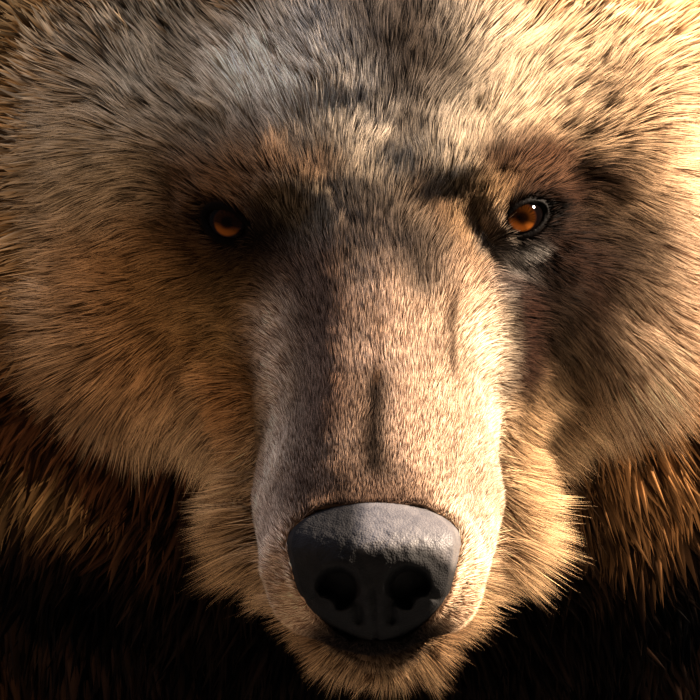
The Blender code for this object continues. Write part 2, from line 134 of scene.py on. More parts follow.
def relief(distance: np.ndarray, shape: Sequence[Sequence[float]]) -> np.ndarray:
    """Add up bells over a distance, each given by its height, width and place."""
    return sum(rise * bell(distance, width, top) for rise, width, top in shape)


def path_distance(points: np.ndarray, path: Sequence[Sequence[float]]) -> np.ndarray:
    """Find the distance from each point to the nearest spot of a path of straight runs.

    Args:
        points: an N x 3 array.
        path: the path's corners.

    Returns:
        N distances.
    """
    best = np.full(len(points), np.inf)
    corners = np.asarray(path, float)
    for start, end in zip(corners[:-1], corners[1:]):
        run = end - start
        share = np.clip((points - start) @ run / (run @ run), 0.0, 1.0)
        best = np.minimum(best, np.linalg.norm(points - start - share[:, None] * run, axis=1))
    return best


def twin_distance(points: np.ndarray, path: Sequence[Sequence[float]]) -> np.ndarray:
    """Find the distance from each point to a path or its mirror image, whichever is nearer."""
    return np.minimum(path_distance(points, path), path_distance(points * MIRROR, path))


def smooth_curve(stations: Sequence[float], values: Sequence[float], at: np.ndarray) -> np.ndarray:
    """Read a smooth curve through given values: a cubic between stations, its slope at each station
    being that between the two beside it.

    Args:
        stations: rising places of the values.
        values: the values there.
        at: where to read the curve.

    Returns:
        The curve's values.
    """
    x, y = np.asarray(stations, float), np.asarray(values, float)
    slope = np.gradient(y, x)
    i = np.clip(np.searchsorted(x, at) - 1, 0, len(x) - 2)
    step = x[i + 1] - x[i]
    t = np.clip((at - x[i]) / step, 0, 1)
    return (y[i] * (1 + 2 * t) * (1 - t) ** 2 + slope[i] * step * t * (1 - t) ** 2
            + y[i + 1] * t * t * (3 - 2 * t) + slope[i + 1] * step * t * t * (t - 1))


def settled(path: Sequence[Sequence[float]], points: np.ndarray) -> np.ndarray:
    """Move a path onto a surface: split it into short runs and take the nearest point for each corner."""
    corners = np.asarray(path, float)
    spots = np.concatenate([np.linspace(a, b, 8, endpoint=False) for a, b in zip(corners[:-1], corners[1:])]
                           + [corners[-1:]])
    nearest = [int(np.argmin(((points - spot) ** 2).sum(axis=1))) for spot in spots]
    return points[[n for i, n in enumerate(nearest) if n not in nearest[:i]]]


@dataclass
class Ripple:
    """Smooth noise: a sum of sine waves in random directions, about 1 in root mean square."""

    seed: int
    wavelength: float
    waves: int = 14

    def __post_init__(self) -> None:
        """Draw the waves' directions, lengths and starts from the seed."""
        rng = np.random.default_rng(self.seed)
        pitch = self.wavelength * rng.uniform(0.6, 1.7, self.waves)
        self.rates = unit(rng.normal(size=(self.waves, 3))) * (2 * math.pi / pitch)[:, None]
        self.starts = rng.uniform(0, 2 * math.pi, self.waves)

    def at(self, points: np.ndarray) -> np.ndarray:
        """Give the noise at each point."""
        return np.sin(points @ self.rates.T + self.starts).sum(axis=1) / math.sqrt(self.waves / 2)


@dataclass
class HeadFrame:
    """The head's own frame: origin between the eyes, x to its left, y backwards, z to its crown."""

    def __post_init__(self) -> None:
        """Place the frame on the two eye solids."""
        left, right = (sum(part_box(f"eye_{side}"), Vector()) / 2 for side in ("left", "right"))
        across = (left - right).normalized()
        back = Vector((0, math.cos(HEAD_PITCH), math.sin(HEAD_PITCH)))
        back = (back - across * back.dot(across)).normalized()
        self.origin = np.array((left + right) / 2)
        self.axes = np.array((across, back, across.cross(back)))

    def local(self, points: np.ndarray) -> np.ndarray:
        """Turn points in metres into the head's millimetres."""
        return (points - self.origin) @ self.axes.T / MM

    def world(self, points: np.ndarray) -> np.ndarray:
        """Turn points in the head's millimetres into metres."""
        return self.origin + (np.asarray(points, float) * MM) @ self.axes

    def turn(self, directions: np.ndarray) -> np.ndarray:
        """Turn directions of the head's frame into the bear's."""
        return np.asarray(directions, float) @ self.axes


class Pigment(Enum):
    """Colours of a hair by the furrier's names: its root and its tip. One of them is painted shade."""

    CREAM = ("b08662", "fde8cc")
    BISCUIT = ("83593f", "eccaa8")
    TAN = ("70503e", "deb898")
    COCOA = ("2a1d17", "6b4f3d")
    STRAW = ("3f2917", "d9b28a")
    HONEY = ("4f2f19", "dab286")
    AMBER = ("3d210f", "bb8450")
    FLAX = ("2f241b", "c0a88a")
    ASH = ("302d2c", "d0c8c0")
    # Painted shade, not a hair's own colour: a dark brown laid where the brow's shadow falls on the glabella
    # and the forehead's middle.
    PAINTED_SHADE = ("13100e", "4a3e34")
    GRIZZLE = ("322c2b", "cbc3bb")
    FAWN = ("35210f", "a27a4c")
    BARK = ("1f120a", "6e4a2d")
    RUST = ("150b07", "422819")
    CHESTNUT = ("180b06", "522e18")
    UMBER = ("070403", "1f160f")
    PEAT = ("0e0706", "362119")
    SABLE = ("020101", "080503")
    SOOT = ("0a0808", "241e1d")


# The furrier's chart of the head. Each row: place, lay of the hair, depth of the coat, hair
# length, hair width, spacing of hairs, pigment, reach of the row. It holds on both sides. Two
# pigments are those of the left and of the right side, with None where the row doesn't hold.
HEAD_CHART = (
    ((0, -152, -44), (0, 1, 0.35), 1.6, 3, 0.26, 0.60, Pigment.COCOA, 11),
    ((0, -118, -30), (0, 1, 0.35), 2.2, 4.5, 0.28, 0.60, Pigment.TAN, 17),
    ((0, -82, -14), (0, 1, 0.4), 2.8, 6, 0.30, 0.62, Pigment.TAN, 18),
    ((0, -50, 2), (0, 0.9, 0.6), 4, 8, 0.32, 0.64, Pigment.TAN, 16),
    # Painted shade on the glabella, where the brow's shadow falls.
    ((0, -25, 16), (0, 0.7, 0.8), 6, 11, 0.35, 0.66, Pigment.PAINTED_SHADE, 15),
    ((0, -3, 30), (0, 0.6, 0.8), 8, 14, 0.34, 0.57, Pigment.FLAX, 17),
    ((0, 18, 52), (0, 0.6, 0.8), 10, 16, 0.36, 0.61, Pigment.ASH, 20),
    ((0, 43, 74), (0, 0.8, 0.6), 12, 18, 0.38, 0.66, Pigment.ASH, 24),
    ((0, 100, 92), (0, 1, 0.1), 16, 24, 1.1, 1.9, Pigment.FAWN, 36),
    # Where a row's right pigment is darker than its left one along the bridge and the muzzle's sides, that
    # darker right colour is painted shade of the side turned away from the key light.
    ((33, -50, -11), (0.2, 0.9, 0.5), 3, 6, 0.30, 0.60, (Pigment.BISCUIT, Pigment.COCOA), 11),
    ((36, -80, -31), (0.1, 1, 0.4), 2.6, 5, 0.28, 0.60, (Pigment.BISCUIT, Pigment.COCOA), 12),
    ((14, -100, -24), (0, 1, 0.4), 2.6, 5, 0.29, 0.61, (None, Pigment.COCOA), 9),
    ((14, -64, -6), (0, 1, 0.4), 3.2, 7, 0.29, 0.61, (None, Pigment.COCOA), 10),
    ((20, -132, -42), (0, 1, 0.4), 2.2, 4, 0.28, 0.60, (None, Pigment.COCOA), 9),
    ((38, -112, -45), (0.1, 1, 0.3), 2.4, 4.5, 0.28, 0.60, (Pigment.BISCUIT, Pigment.COCOA), 13),
    ((49, -48, -30), (0.3, 0.9, -0.1), 4, 8, 0.32, 0.64, (Pigment.CREAM, Pigment.BARK), 11),
    ((52, -70, -50), (0.2, 1, -0.3), 3.5, 7, 0.30, 0.62, (Pigment.CREAM, Pigment.FAWN), 12),
    ((53, -98, -66), (0.1, 1, -0.3), 3, 6, 0.30, 0.62, (Pigment.CREAM, Pigment.TAN), 13),
    ((51, -130, -76), (0.1, 1, -0.2), 2.6, 5, 0.28, 0.60, (Pigment.CREAM, Pigment.TAN), 14),
    ((38, -153, -92), (0.4, 0.9, -0.2), 2.2, 4.2, 0.28, 0.60, Pigment.BISCUIT, 9),
    ((11, -160, -104), (0.5, 0.3, -0.6), 1.7, 2.6, 0.26, 0.60, Pigment.SOOT, 8),
    ((19, -158, -105), (0.6, 0.4, -0.5), 1.9, 3, 0.26, 0.60, Pigment.SOOT, 5.5),
    ((14, -157, -112), (0.5, 0.3, -0.7), 1.9, 2.8, 0.26, 0.60, Pigment.SOOT, 6),
    ((0, -160, -108), (0.3, 0.2, -0.8), 1.7, 2.4, 0.26, 0.60, Pigment.SOOT, 9),
    ((50, -112, -96), (0.1, 1, -0.5), 3.4, 7, 0.32, 0.66, Pigment.BISCUIT, 14),
    ((0, -150, -131), (0.1, 0.25, -1), 5, 15, 0.32, 0.64, Pigment.HONEY, 9),
    ((15, -144, -131), (0.3, 0.2, -1), 7, 25, 0.32, 0.66, (Pigment.HONEY, None), 8),
    ((15, -144, -131), (0.3, 0.2, -1), 6, 18, 0.32, 0.66, (None, Pigment.HONEY), 8),
    ((30, -132, -122), (0.3, 0.8, -0.4), 4, 7, 0.30, 0.64, Pigment.CHESTNUT, 8),
    ((0, -95, -142), (0, 0.9, -0.4), 10, 20, 0.8, 1.5, Pigment.FAWN, 28),
    ((62, -12, 0), (0.6, 0.6, 0), 2.5, 2.5, 0.25, 0.57, Pigment.SOOT, 5.5),
    ((55, -17, -13), (0.25, 0.5, -0.8), 3.5, 6, 0.28, 0.58, (Pigment.GRIZZLE, None), 7),
    ((60, -15, -15), (0.6, 0.4, -0.5), 3.5, 6, 0.28, 0.58, (None, Pigment.UMBER), 9),
    ((43, -17, 0), (0.1, 0.6, 0.7), 5, 11, 0.30, 0.60, (Pigment.STRAW, None), 8),
    ((49, -10, 14), (0.3, 0.3, 0.9), 6, 12, 0.32, 0.60, (Pigment.FAWN, None), 7),
    ((45, -16, -4), (0.2, 0.9, 0.2), 3, 4.5, 0.28, 0.58, (None, Pigment.SOOT), 7),
    # Its COCOA on the right is painted shade.
    ((40, -32, -12), (0.2, 0.9, 0.2), 3.2, 6, 0.30, 0.62, (Pigment.TAN, Pigment.COCOA), 9),
    ((25, -12, 22), (0.25, 0.6, 0.8), 7, 13, 0.34, 0.57, Pigment.FLAX, 12),
    # Painted shade on the left of the glabella, in the brow's shadow.
    ((24, -30, 6), (0.2, 0.8, 0.6), 5, 9, 0.32, 0.62, (Pigment.PAINTED_SHADE, None), 9),
    ((36, -20, 8), (0.2, 0.6, 0.7), 5, 10, 0.32, 0.62, (Pigment.PAINTED_SHADE, None), 7),
    ((41, -5, 30), (0.3, 0.4, 0.9), 8, 14, 0.35, 0.57, (Pigment.FLAX, None), 11),
    ((44, 0, 34), (0.3, 0.4, 0.9), 8, 14, 0.35, 0.57, (None, Pigment.BARK), 12),
    ((84, 8, 28), (0.6, 0.5, 0.6), 9, 14, 0.37, 0.59, (None, Pigment.RUST), 12),
    ((61, -5, 27), (0.45, 0.4, 0.8), 7, 12, 0.37, 0.64, (Pigment.RUST, Pigment.BARK), 12),
    ((79, 1, 17), (0.8, 0.5, 0.3), 7, 12, 0.37, 0.66, (Pigment.RUST, Pigment.BARK), 11),
    ((62, -10, 12), (0.5, 0.4, 0.7), 3.5, 6, 0.32, 0.58, (Pigment.RUST, Pigment.BARK), 7),
    ((80, -3, -2), (0.9, 0.4, -0.2), 4.5, 8, 0.33, 0.62, Pigment.UMBER, 9),
    ((90, 4, -12), (0.9, 0.4, -0.3), 8, 13, 0.34, 0.59, (Pigment.UMBER, None), 19),
    ((81, -10, -36), (0.6, 0.5, -0.7), 8, 13, 0.34, 0.59, (Pigment.UMBER, None), 20),
    ((92, 0, -24), (0.75, 0.45, -0.5), 8, 14, 0.36, 0.64, (Pigment.UMBER, None), 12),
    ((76, -13, -22), (0.7, 0.5, -0.5), 6, 11, 0.34, 0.62, (Pigment.UMBER, None), 10),
    ((104, 8, -20), (0.85, 0.45, -0.4), 10, 16, 0.38, 0.66, (Pigment.UMBER, None), 12),
    ((103, 2, -36), (0.8, 0.5, -0.6), 10, 16, 0.37, 0.64, (Pigment.UMBER, None), 15),
    ((101, 12, 12), (0.85, 0.45, 0.1), 10, 16, 0.38, 0.66, (Pigment.PEAT, None), 11),
    ((94, -4, -58), (0.6, 0.5, -0.7), 12, 18, 0.40, 0.68, (Pigment.UMBER, None), 12),
    ((63, -28, -34), (0.6, 0.5, -0.6), 5, 9, 0.33, 0.66, (Pigment.UMBER, None), 9),
    ((66, -34, -54), (0.5, 0.6, -0.7), 6, 11, 0.34, 0.57, (Pigment.PEAT, None), 10),
    ((113, 14, -20), (0.9, 0.4, -0.5), 13, 20, 0.42, 0.71, (Pigment.PEAT, None), 13),
    ((134, 16, -28), (0.85, 0.4, -0.5), 18, 25, 0.46, 0.78, (Pigment.BISCUIT, None), 13),
    ((110, -2, -50), (0.7, 0.4, -0.7), 15, 22, 0.43, 0.74, (Pigment.BARK, None), 12),
    ((80, -2, -10), (0.9, 0.4, -0.3), 8, 13, 0.34, 0.59, (None, Pigment.CHESTNUT), 12),
    ((88, -3, -34), (0.7, 0.5, -0.6), 9, 15, 0.35, 0.61, (None, Pigment.FAWN), 16),
    ((66, -24, -28), (0.6, 0.6, -0.4), 6, 10, 0.32, 0.57, (None, Pigment.FAWN), 12),
    ((113, 12, -30), (0.8, 0.4, -0.5), 14, 21, 0.43, 0.71, (None, Pigment.AMBER), 19),
    ((33, 29, 59), (0.35, 0.6, 0.75), 11, 16, 0.37, 0.63, Pigment.FLAX, 18),
    ((70, 35, 50), (0.6, 0.55, 0.6), 12, 18, 0.40, 0.66, Pigment.FLAX, 24),
    ((112, 42, 49), (0.85, 0.5, 0.2), 14, 21, 0.43, 0.71, (Pigment.STRAW, Pigment.FLAX), 26),
    ((95, 12, 28), (0.85, 0.5, 0.25), 11, 17, 0.40, 0.66, (Pigment.STRAW, Pigment.FLAX), 15),
    ((122, 22, 10), (0.85, 0.4, -0.4), 16, 23, 0.45, 0.75, (Pigment.STRAW, Pigment.FLAX), 20),
    ((143, 42, -5), (0.8, 0.5, -0.5), 20, 28, 0.50, 0.85, (Pigment.BISCUIT, Pigment.FLAX), 24),
    ((120, 90, 62), (0.8, 0.7, 0.2), 15, 24, 0.9, 1.5, Pigment.FAWN, 28),
    ((60, 80, 85), (0.4, 0.9, 0.3), 14, 22, 0.8, 1.3, Pigment.FAWN, 28),
    ((106, -7, -72), (0.6, 0.4, -0.8), 20, 27, 0.46, 0.78, (Pigment.HONEY, Pigment.AMBER), 17),
    ((136, 9, -55), (0.75, 0.4, -0.7), 22, 30, 0.50, 0.83, (Pigment.BISCUIT, Pigment.STRAW), 20),
    ((72, -38, -76), (0.5, 0.5, -0.7), 10, 17, 0.37, 0.64, (Pigment.HONEY, Pigment.AMBER), 11),
    ((89, -11, -97), (0.4, 0.4, -0.9), 22, 30, 0.46, 0.80, Pigment.HONEY, 16),
    ((76, -13, -120), (0.3, 0.5, -0.9), 24, 34, 0.50, 0.87, Pigment.HONEY, 15),
    ((58, -52, -98), (0.5, 0.6, -0.6), 11, 21, 0.37, 0.63, Pigment.HONEY, 12),
    ((64, -34, -116), (0.7, 0.4, -0.6), 16, 30, 0.40, 0.68, Pigment.HONEY, 12),
    ((48, -75, -120), (0.75, 0.35, -0.55), 13, 29, 0.37, 0.64, Pigment.HONEY, 12),
    ((42, -102, -124), (0.7, 0.3, -0.65), 12, 38, 0.35, 0.63, (Pigment.HONEY, None), 11),
    ((42, -102, -124), (0.7, 0.3, -0.65), 10, 31, 0.35, 0.63, (None, Pigment.HONEY), 11),
    ((34, -122, -127), (0.6, 0.2, -0.75), 9, 34, 0.34, 0.61, (Pigment.HONEY, None), 8),
    ((34, -122, -127), (0.6, 0.2, -0.75), 8, 22, 0.34, 0.61, (None, Pigment.HONEY), 8),
    ((68, 0, -138), (0.35, 0.6, -0.9), 22, 34, 0.53, 0.96, Pigment.HONEY, 13),
    ((155, 20, -85), (0.6, 0.6, -0.8), 26, 36, 0.59, 1.00, (Pigment.BARK, Pigment.HONEY), 20),
    ((122, -3, -106), (0.45, 0.5, -0.9), 25, 34, 0.53, 0.87, (Pigment.AMBER, Pigment.HONEY), 18),
    ((172, 70, -60), (0.5, 0.9, -0.6), 30, 42, 1.8, 2.9, Pigment.FAWN, 34),
    ((165, 110, 0), (0.6, 0.9, -0.4), 28, 40, 1.8, 3.0, Pigment.FAWN, 34),
    ((60, 20, -152), (0.3, 0.7, -0.9), 28, 40, 1.2, 1.8, Pigment.CHESTNUT, 20),
    ((130, 60, -140), (0.35, 0.7, -0.9), 32, 46, 1.3, 2.0, (Pigment.AMBER, Pigment.CHESTNUT), 28),
    ((150, 110, -195), (0.3, 0.7, -0.9), 36, 50, 1.6, 2.4, (Pigment.BARK, Pigment.CHESTNUT), 34),
    # Near-black below the head: partly the chest's dark fur, partly painted shade where the head shades the
    # chest.
    ((60, 80, -215), (0.1, 0.7, -0.9), 34, 48, 1.8, 2.6, Pigment.SABLE, 42),
    ((110, 150, -300), (0.1, 0.7, -0.9), 36, 52, 2.2, 3.1, Pigment.SABLE, 54),
    ((0, 20, -165), (0, 0.9, -0.6), 22, 36, 1.6, 2.5, Pigment.CHESTNUT, 30),
    ((118, 118, 112), (0.3, 0.5, 0.9), 6, 16, 0.95, 1.9, Pigment.BARK, 26),
    ((118, 160, 112), (0.3, 0.8, 0.7), 7, 18, 1.1, 2.1, Pigment.BARK, 26),
    ((118, 140, 145), (0.2, 0.6, 0.9), 6, 15, 0.95, 1.9, Pigment.BARK, 18),
)

# Markings, and painted light and shade, over the chart's colours: a path on the head, its width, its strength
# and its pigment.
MARKINGS_AND_PAINTED_LIGHT = (
    # Dark skin where the hair parts along the muzzle's middle crease, darkened further as painted shade of
    # the groove.
    (((1, -92, -25), (0, -106, -31), (-1, -118, -36), (1, -130, -40)), 7.0, 0.95, Pigment.SABLE),
    (((2, -64, -14), (2, -78, -20), (2, -92, -25)), 2.4, 0.5, Pigment.BARK),
    # Painted shade: a thin dark line along the crease at the bridge's left edge.
    (((31, -28, -8), (31, -38, -15), (31, -58, -27), (31, -74, -34)), 3.0, 0.8, Pigment.RUST),
    (((-14, -140, -46), (-10, -148, -50), (8, -150, -51)), 5.0, 0.6, Pigment.SABLE),
    # Painted shade down the forehead's middle and over the glabella, where the brow's shadow falls.
    (((12, 62, 68), (14, 34, 50)), 22, 1.0, Pigment.PAINTED_SHADE),
    (((14, 34, 50), (15, 16, 34), (14, 8, 29)), 17, 0.75, Pigment.PAINTED_SHADE),
    (((2, -18, 7), (14, -28, 1), (20, -40, -8)), 13, 0.9, Pigment.PAINTED_SHADE),
    # Painted shade down the bear's right half of the bridge, the half turned away from the key light.
    (((-20, -36, -6), (-20, -60, -18), (-20, -82, -26), (-20, -108, -35)), 12, 0.95, Pigment.COCOA),
    # Darker brown where the brow's shadow falls by the left eye's inner corner: partly the hair's own brown,
    # partly painted shade.
    (((18, -12, 14), (34, -18, 3), (44, -24, -7)), 8, 0.6, Pigment.BARK),
    (((36, -17, 4), (46, -23, -8)), 6, 0.6, Pigment.HONEY),
    # Painted shade at the top of the forehead's middle.
    (((-14, 64, 72), (-4, 46, 58)), 14, 0.8, Pigment.PAINTED_SHADE),
    # Pale cream on the forehead's right side: partly the hair's own pale colour, partly painted light on this
    # side, which the key light misses.
    (((-54, 38, 44), (-30, 26, 42)), 14, 0.85, Pigment.CREAM),
    # Painted shade over the glabella on the bear's right.
    (((-22, 0, 24), (-14, -12, 12), (-8, -26, 4), (-6, -38, -4)), 11, 0.8, Pigment.PAINTED_SHADE),
    (((-76, 10, 10), (-58, 2, 16), (-40, -2, 20), (-26, -6, 18)), 9, 0.7, Pigment.BARK),
    (((66, -4, 5), (80, 10, 6), (94, 20, 8)), 10, 0.85, Pigment.PEAT),
    (((68, -5, -8), (78, 4, -16), (84, 6, -34), (86, 6, -50)), 12, 0.55, Pigment.PEAT),
    (((82, 10, -4), (92, 18, -8)), 11, 0.4, Pigment.UMBER),
    (((50, -19, -17), (60, -13, -26), (58, -20, -40), (57, -30, -58)), 8, 0.85, Pigment.PEAT),
    (((44, -21, -6), (54, -14, -9), (65, -7, -11)), 3.6, 0.85, Pigment.GRIZZLE),
    (((48, -2, 20), (62, 4, 21), (76, 12, 18)), 9, 0.85, Pigment.RUST),
    (((49, -17, -3), (53, -13, 5), (60, -9, 9), (68, -5, 9), (74, 0, 4), (71, -4, -2),
      (64, -8, -5), (56, -13, -6), (49, -17, -3)), 3.4, 0.95, Pigment.SABLE),
    (((45, -18, 0), (51, -14, -4)), 3.5, 0.95, Pigment.SABLE),
    (((-42, -38, -28), (-42, -55, -42), (-42, -76, -53), (-41, -108, -57)), 12, 0.85, Pigment.BISCUIT),
    (((104, 11, -60), (104, 12, -90)), 14, 0.6, Pigment.BISCUIT),
    (((98, 110, -168), (104, 124, -192), (124, 148, -212)), 18, 0.75, Pigment.AMBER),
    # Near-black below the head: partly the chest's dark fur, partly painted shade where the head shades the
    # chest.
    (((104, 190, -290), (128, 260, -350)), 50, 0.9, Pigment.SABLE),
    (((-178, 212, -232), (-150, 160, -208), (-127, 134, -196)), 15, 0.8, Pigment.FAWN),
    # The same on the right: partly dark fur, partly painted shade under the head.
    (((-195, 320, -370), (-160, 262, -330), (-128, 200, -290)), 45, 0.9, Pigment.SABLE),
    (((-210, 400, -470), (-150, 400, -490)), 90, 0.8, Pigment.SABLE),
    (((-50, -70, -118), (-42, -102, -124), (-34, -122, -127)), 12, 0.6, Pigment.FAWN),
    (((-136, 44, -80), (-116, 10, -92)), 14, 0.8, Pigment.BARK),
)

# The chart of the other parts, on both sides, in metres of the bear's own frame.
BODY_CHART = (
    ((0, -0.62, 1.03), (0, 1, 0.1), 0.034, 0.060, 0.0040, 0.0050, Pigment.FAWN, 0.09),
    ((0, -0.45, 1.06), (0, 1, 0.15), 0.040, 0.070, 0.0043, 0.0052, Pigment.FAWN, 0.10),
    ((0.22, -0.55, 0.86), (0.1, 0.8, -0.7), 0.038, 0.066, 0.0041, 0.0050, Pigment.BARK, 0.09),
    # Dark chest under the head: partly dark fur, partly painted shade where the head shades the chest.
    ((0.2, -0.6, 0.68), (0.1, 0.7, -0.9), 0.036, 0.060, 0.0038, 0.0046, Pigment.PEAT, 0.08),
    ((0, -0.55, 0.60), (0, 0.7, -0.7), 0.034, 0.056, 0.0038, 0.0044, Pigment.SABLE, 0.08),
    ((0, -0.45, 0.52), (0, 0.5, -0.9), 0.036, 0.062, 0.0040, 0.0047, Pigment.SABLE, 0.10),
    ((0, -0.2, 1.14), (0, 1, 0), 0.042, 0.080, 0.0049, 0.0056, Pigment.FAWN, 0.14),
    ((0.25, -0.2, 0.95), (0.1, 0.7, -0.8), 0.040, 0.078, 0.0049, 0.0056, Pigment.FAWN, 0.12),
    ((0.33, -0.15, 0.75), (0.1, 0.5, -1), 0.038, 0.074, 0.0049, 0.0056, Pigment.BARK, 0.12),
    ((0, 0.2, 1.06), (0, 1, -0.1), 0.040, 0.078, 0.0050, 0.0058, Pigment.FAWN, 0.16),
    ((0.3, 0.25, 0.88), (0.1, 0.9, -0.5), 0.040, 0.078, 0.0050, 0.0058, Pigment.FAWN, 0.14),
    ((0.32, 0.25, 0.66), (0, 0.9, -0.6), 0.038, 0.076, 0.0050, 0.0058, Pigment.BARK, 0.14),
    ((0, 0.25, 0.50), (0, 1, -0.3), 0.036, 0.074, 0.0050, 0.0059, Pigment.CHESTNUT, 0.16),
    ((0, 0.65, 1.03), (0, 1, -0.3), 0.040, 0.078, 0.0050, 0.0058, Pigment.FAWN, 0.15),
    ((0, 0.92, 0.90), (0, 0.5, -0.9), 0.038, 0.076, 0.0049, 0.0056, Pigment.BARK, 0.12),
    ((0.28, 0.7, 0.82), (0.1, 0.7, -0.8), 0.038, 0.074, 0.0049, 0.0056, Pigment.BARK, 0.13),
    ((0.26, 0.68, 0.55), (0, 0.35, -1), 0.032, 0.064, 0.0045, 0.0052, Pigment.CHESTNUT, 0.11),
    ((0, 0.98, 0.83), (0, 0.4, -1), 0.020, 0.050, 0.0046, 0.0052, Pigment.BARK, 0.06),
    ((0.22, -0.2, 0.50), (0, 0.25, -1), 0.028, 0.058, 0.0042, 0.0050, Pigment.CHESTNUT, 0.10),
    ((0.18, -0.2, 0.28), (0, 0.25, -1), 0.020, 0.044, 0.0040, 0.0050, Pigment.PEAT, 0.08),
    ((0.2, 0.78, 0.30), (0, 0.25, -1), 0.020, 0.044, 0.0040, 0.0050, Pigment.PEAT, 0.08),
    ((0.18, -0.22, 0.12), (0, -0.3, -1), 0.013, 0.030, 0.0036, 0.0047, Pigment.PEAT, 0.06),
    ((0.2, 0.70, 0.12), (0, -0.3, -1), 0.012, 0.028, 0.0036, 0.0047, Pigment.PEAT, 0.06),
    ((0.18, -0.3, 0.06), (0, -0.9, -0.5), 0.008, 0.020, 0.0031, 0.0042, Pigment.PEAT, 0.05),
    ((0.2, 0.62, 0.05), (0, -0.9, -0.5), 0.008, 0.020, 0.0031, 0.0042, Pigment.PEAT, 0.05),
)


@dataclass
class Reading:
    """What the chart says at a number of places, one row or value for each place."""

    lay: np.ndarray
    depth: np.ndarray
    length: np.ndarray
    width: np.ndarray
    spacing: np.ndarray
    root: np.ndarray
    tip: np.ndarray


@dataclass
class CoatChart:
    """Lay, depth, length and colours of the coat all over the bear, read between the charted places."""

    head: HeadFrame
    batch: int = 40000

    def __post_init__(self) -> None:
        """Turn both charts into arrays in metres."""
        places, values, reaches = [], [], []
        for place, lay, sizes, tints, reach in self.rows_of(HEAD_CHART):
            places.append(self.head.world(place))
            values.append(np.hstack((self.head.turn(lay), sizes * MM, *tints)))
            reaches.append(reach * MM)
        for place, lay, sizes, tints, reach in self.rows_of(BODY_CHART):
            places.append(place)
            values.append(np.hstack((lay, sizes, *tints)))
            reaches.append(reach)
        self.places = np.array(places, np.float32)
        self.values = np.array(values, np.float32)
        self.reaches = np.array(reaches, np.float32)

    @staticmethod
    def rows_of(chart: Sequence[tuple]) -> Iterator[tuple]:
        """Give each row once for each side on which it holds, mirrored on the right."""
        for place, lay, *sizes, pigment, reach in chart:
            pair = (pigment, pigment) if isinstance(pigment, Pigment) else pigment
            for side, shown in zip(Side, pair):
                if shown and (place[0] or side is Side.LEFT):
                    flip = np.array((side.value, 1, 1))
                    yield flip * place, unit(flip * lay), np.array(sizes), map(linear, shown.value), reach

    def read(self, points: np.ndarray) -> Reading:
        """Blend the rows at each point, each with weight exp(-d^2 / 2r^2) / r, scaled to sum 1.

        Args:
            points: an N x 3 array in metres.

        Returns:
            The blended values.
        """
        out = np.empty((len(points), self.values.shape[1]), np.float32)
        for start in range(0, len(points), self.batch):
            part = points[start:start + self.batch].astype(np.float32)
            square = ((part[:, None, :] - self.places) ** 2).sum(axis=2)
            power = -square / (2 * self.reaches ** 2) - np.log(self.reaches)
            weight = np.exp(power - power.max(axis=1, keepdims=True))
            out[start:start + self.batch] = weight @ self.values / weight.sum(axis=1, keepdims=True)
        lay = unit(out[:, :3].astype(float))
        colours = self.overlaid(self.head.local(points), out[:, 7:13].astype(float))
        return Reading(lay, *(out[:, i].astype(float) for i in range(3, 7)),
                       colours[:, :3], colours[:, 3:])

    def overlaid(self, local: np.ndarray, colours: np.ndarray) -> np.ndarray:
        """Lay the markings and the painted light and shade over root and tip colours, each by strength
        exp(-(d / w)^2) at distance d.
        """
        for path, width, strength, pigment in MARKINGS_AND_PAINTED_LIGHT:
            share = strength * bell(path_distance(local, path), width)
            wanted = np.hstack([linear(code) for code in pigment.value])
            colours = colours + (wanted - colours) * share[:, None]
        return colours


def triangle_object(name: str, points: np.ndarray, triangles: np.ndarray) -> bpy.types.Object:
    """Make an object at the origin from arrays.

    Args:
        name: the piece's name.
        points: an N x 3 array in metres.
        triangles: an M x 3 array of point numbers.

    Returns:
        The object, linked to the scene.
    """
    mesh = bpy.data.meshes.new(name)
    mesh.vertices.add(len(points))
    mesh.vertices.foreach_set("co", np.ascontiguousarray(points, np.float32).ravel())
    mesh.loops.add(triangles.size)
    mesh.loops.foreach_set("vertex_index", np.ascontiguousarray(triangles, np.int32).ravel())
    mesh.polygons.add(len(triangles))
    mesh.polygons.foreach_set("loop_start", np.arange(0, triangles.size, 3, dtype=np.int32))
    mesh.update(calc_edges=True)
    piece = bpy.data.objects.new(name, mesh)
    bpy.context.scene.collection.objects.link(piece)
    return piece


def set_colours(piece: bpy.types.Object, name: str, colours: np.ndarray) -> None:
    """Store one linear colour for each point of a piece."""
    attribute = piece.data.color_attributes.new(name, "FLOAT_COLOR", "POINT")
    full = np.ones((len(colours), 4), np.float32)
    full[:, :3] = colours
    attribute.data.foreach_set("color", full.ravel())


def set_values(piece: bpy.types.Object, name: str, values: np.ndarray) -> None:
    """Store one number for each point of a piece."""
    attribute = piece.data.attributes.new(name, "FLOAT", "POINT")
    attribute.data.foreach_set("value", values.astype(np.float32))


def face_outward(piece: bpy.types.Object) -> None:
    """Turn every face of a closed piece outwards."""
    shell = bmesh.new()
    shell.from_mesh(piece.data)
    bmesh.ops.recalc_face_normals(shell, faces=shell.faces)
    shell.to_mesh(piece.data)
    shell.free()


def shade_smooth(piece: bpy.types.Object) -> None:
    """Shade every face of a piece smooth."""
    piece.data.polygons.foreach_set("use_smooth", np.ones(len(piece.data.polygons), bool))


def finish_piece(piece: bpy.types.Object, material: bpy.types.Material,
                 replaced: Sequence[str] = ()) -> None:
    """Dress a piece, let it ride on the bear and say what it stands for.

    Args:
        piece: the finished mesh.
        material: its material.
        replaced: the solids that it stands for.
    """
    piece.data.materials.append(material)
    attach(piece, BODY)
    if replaced:
        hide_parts(*replaced)
    LOG.info("%s: %d faces", piece.name, len(piece.data.polygons))


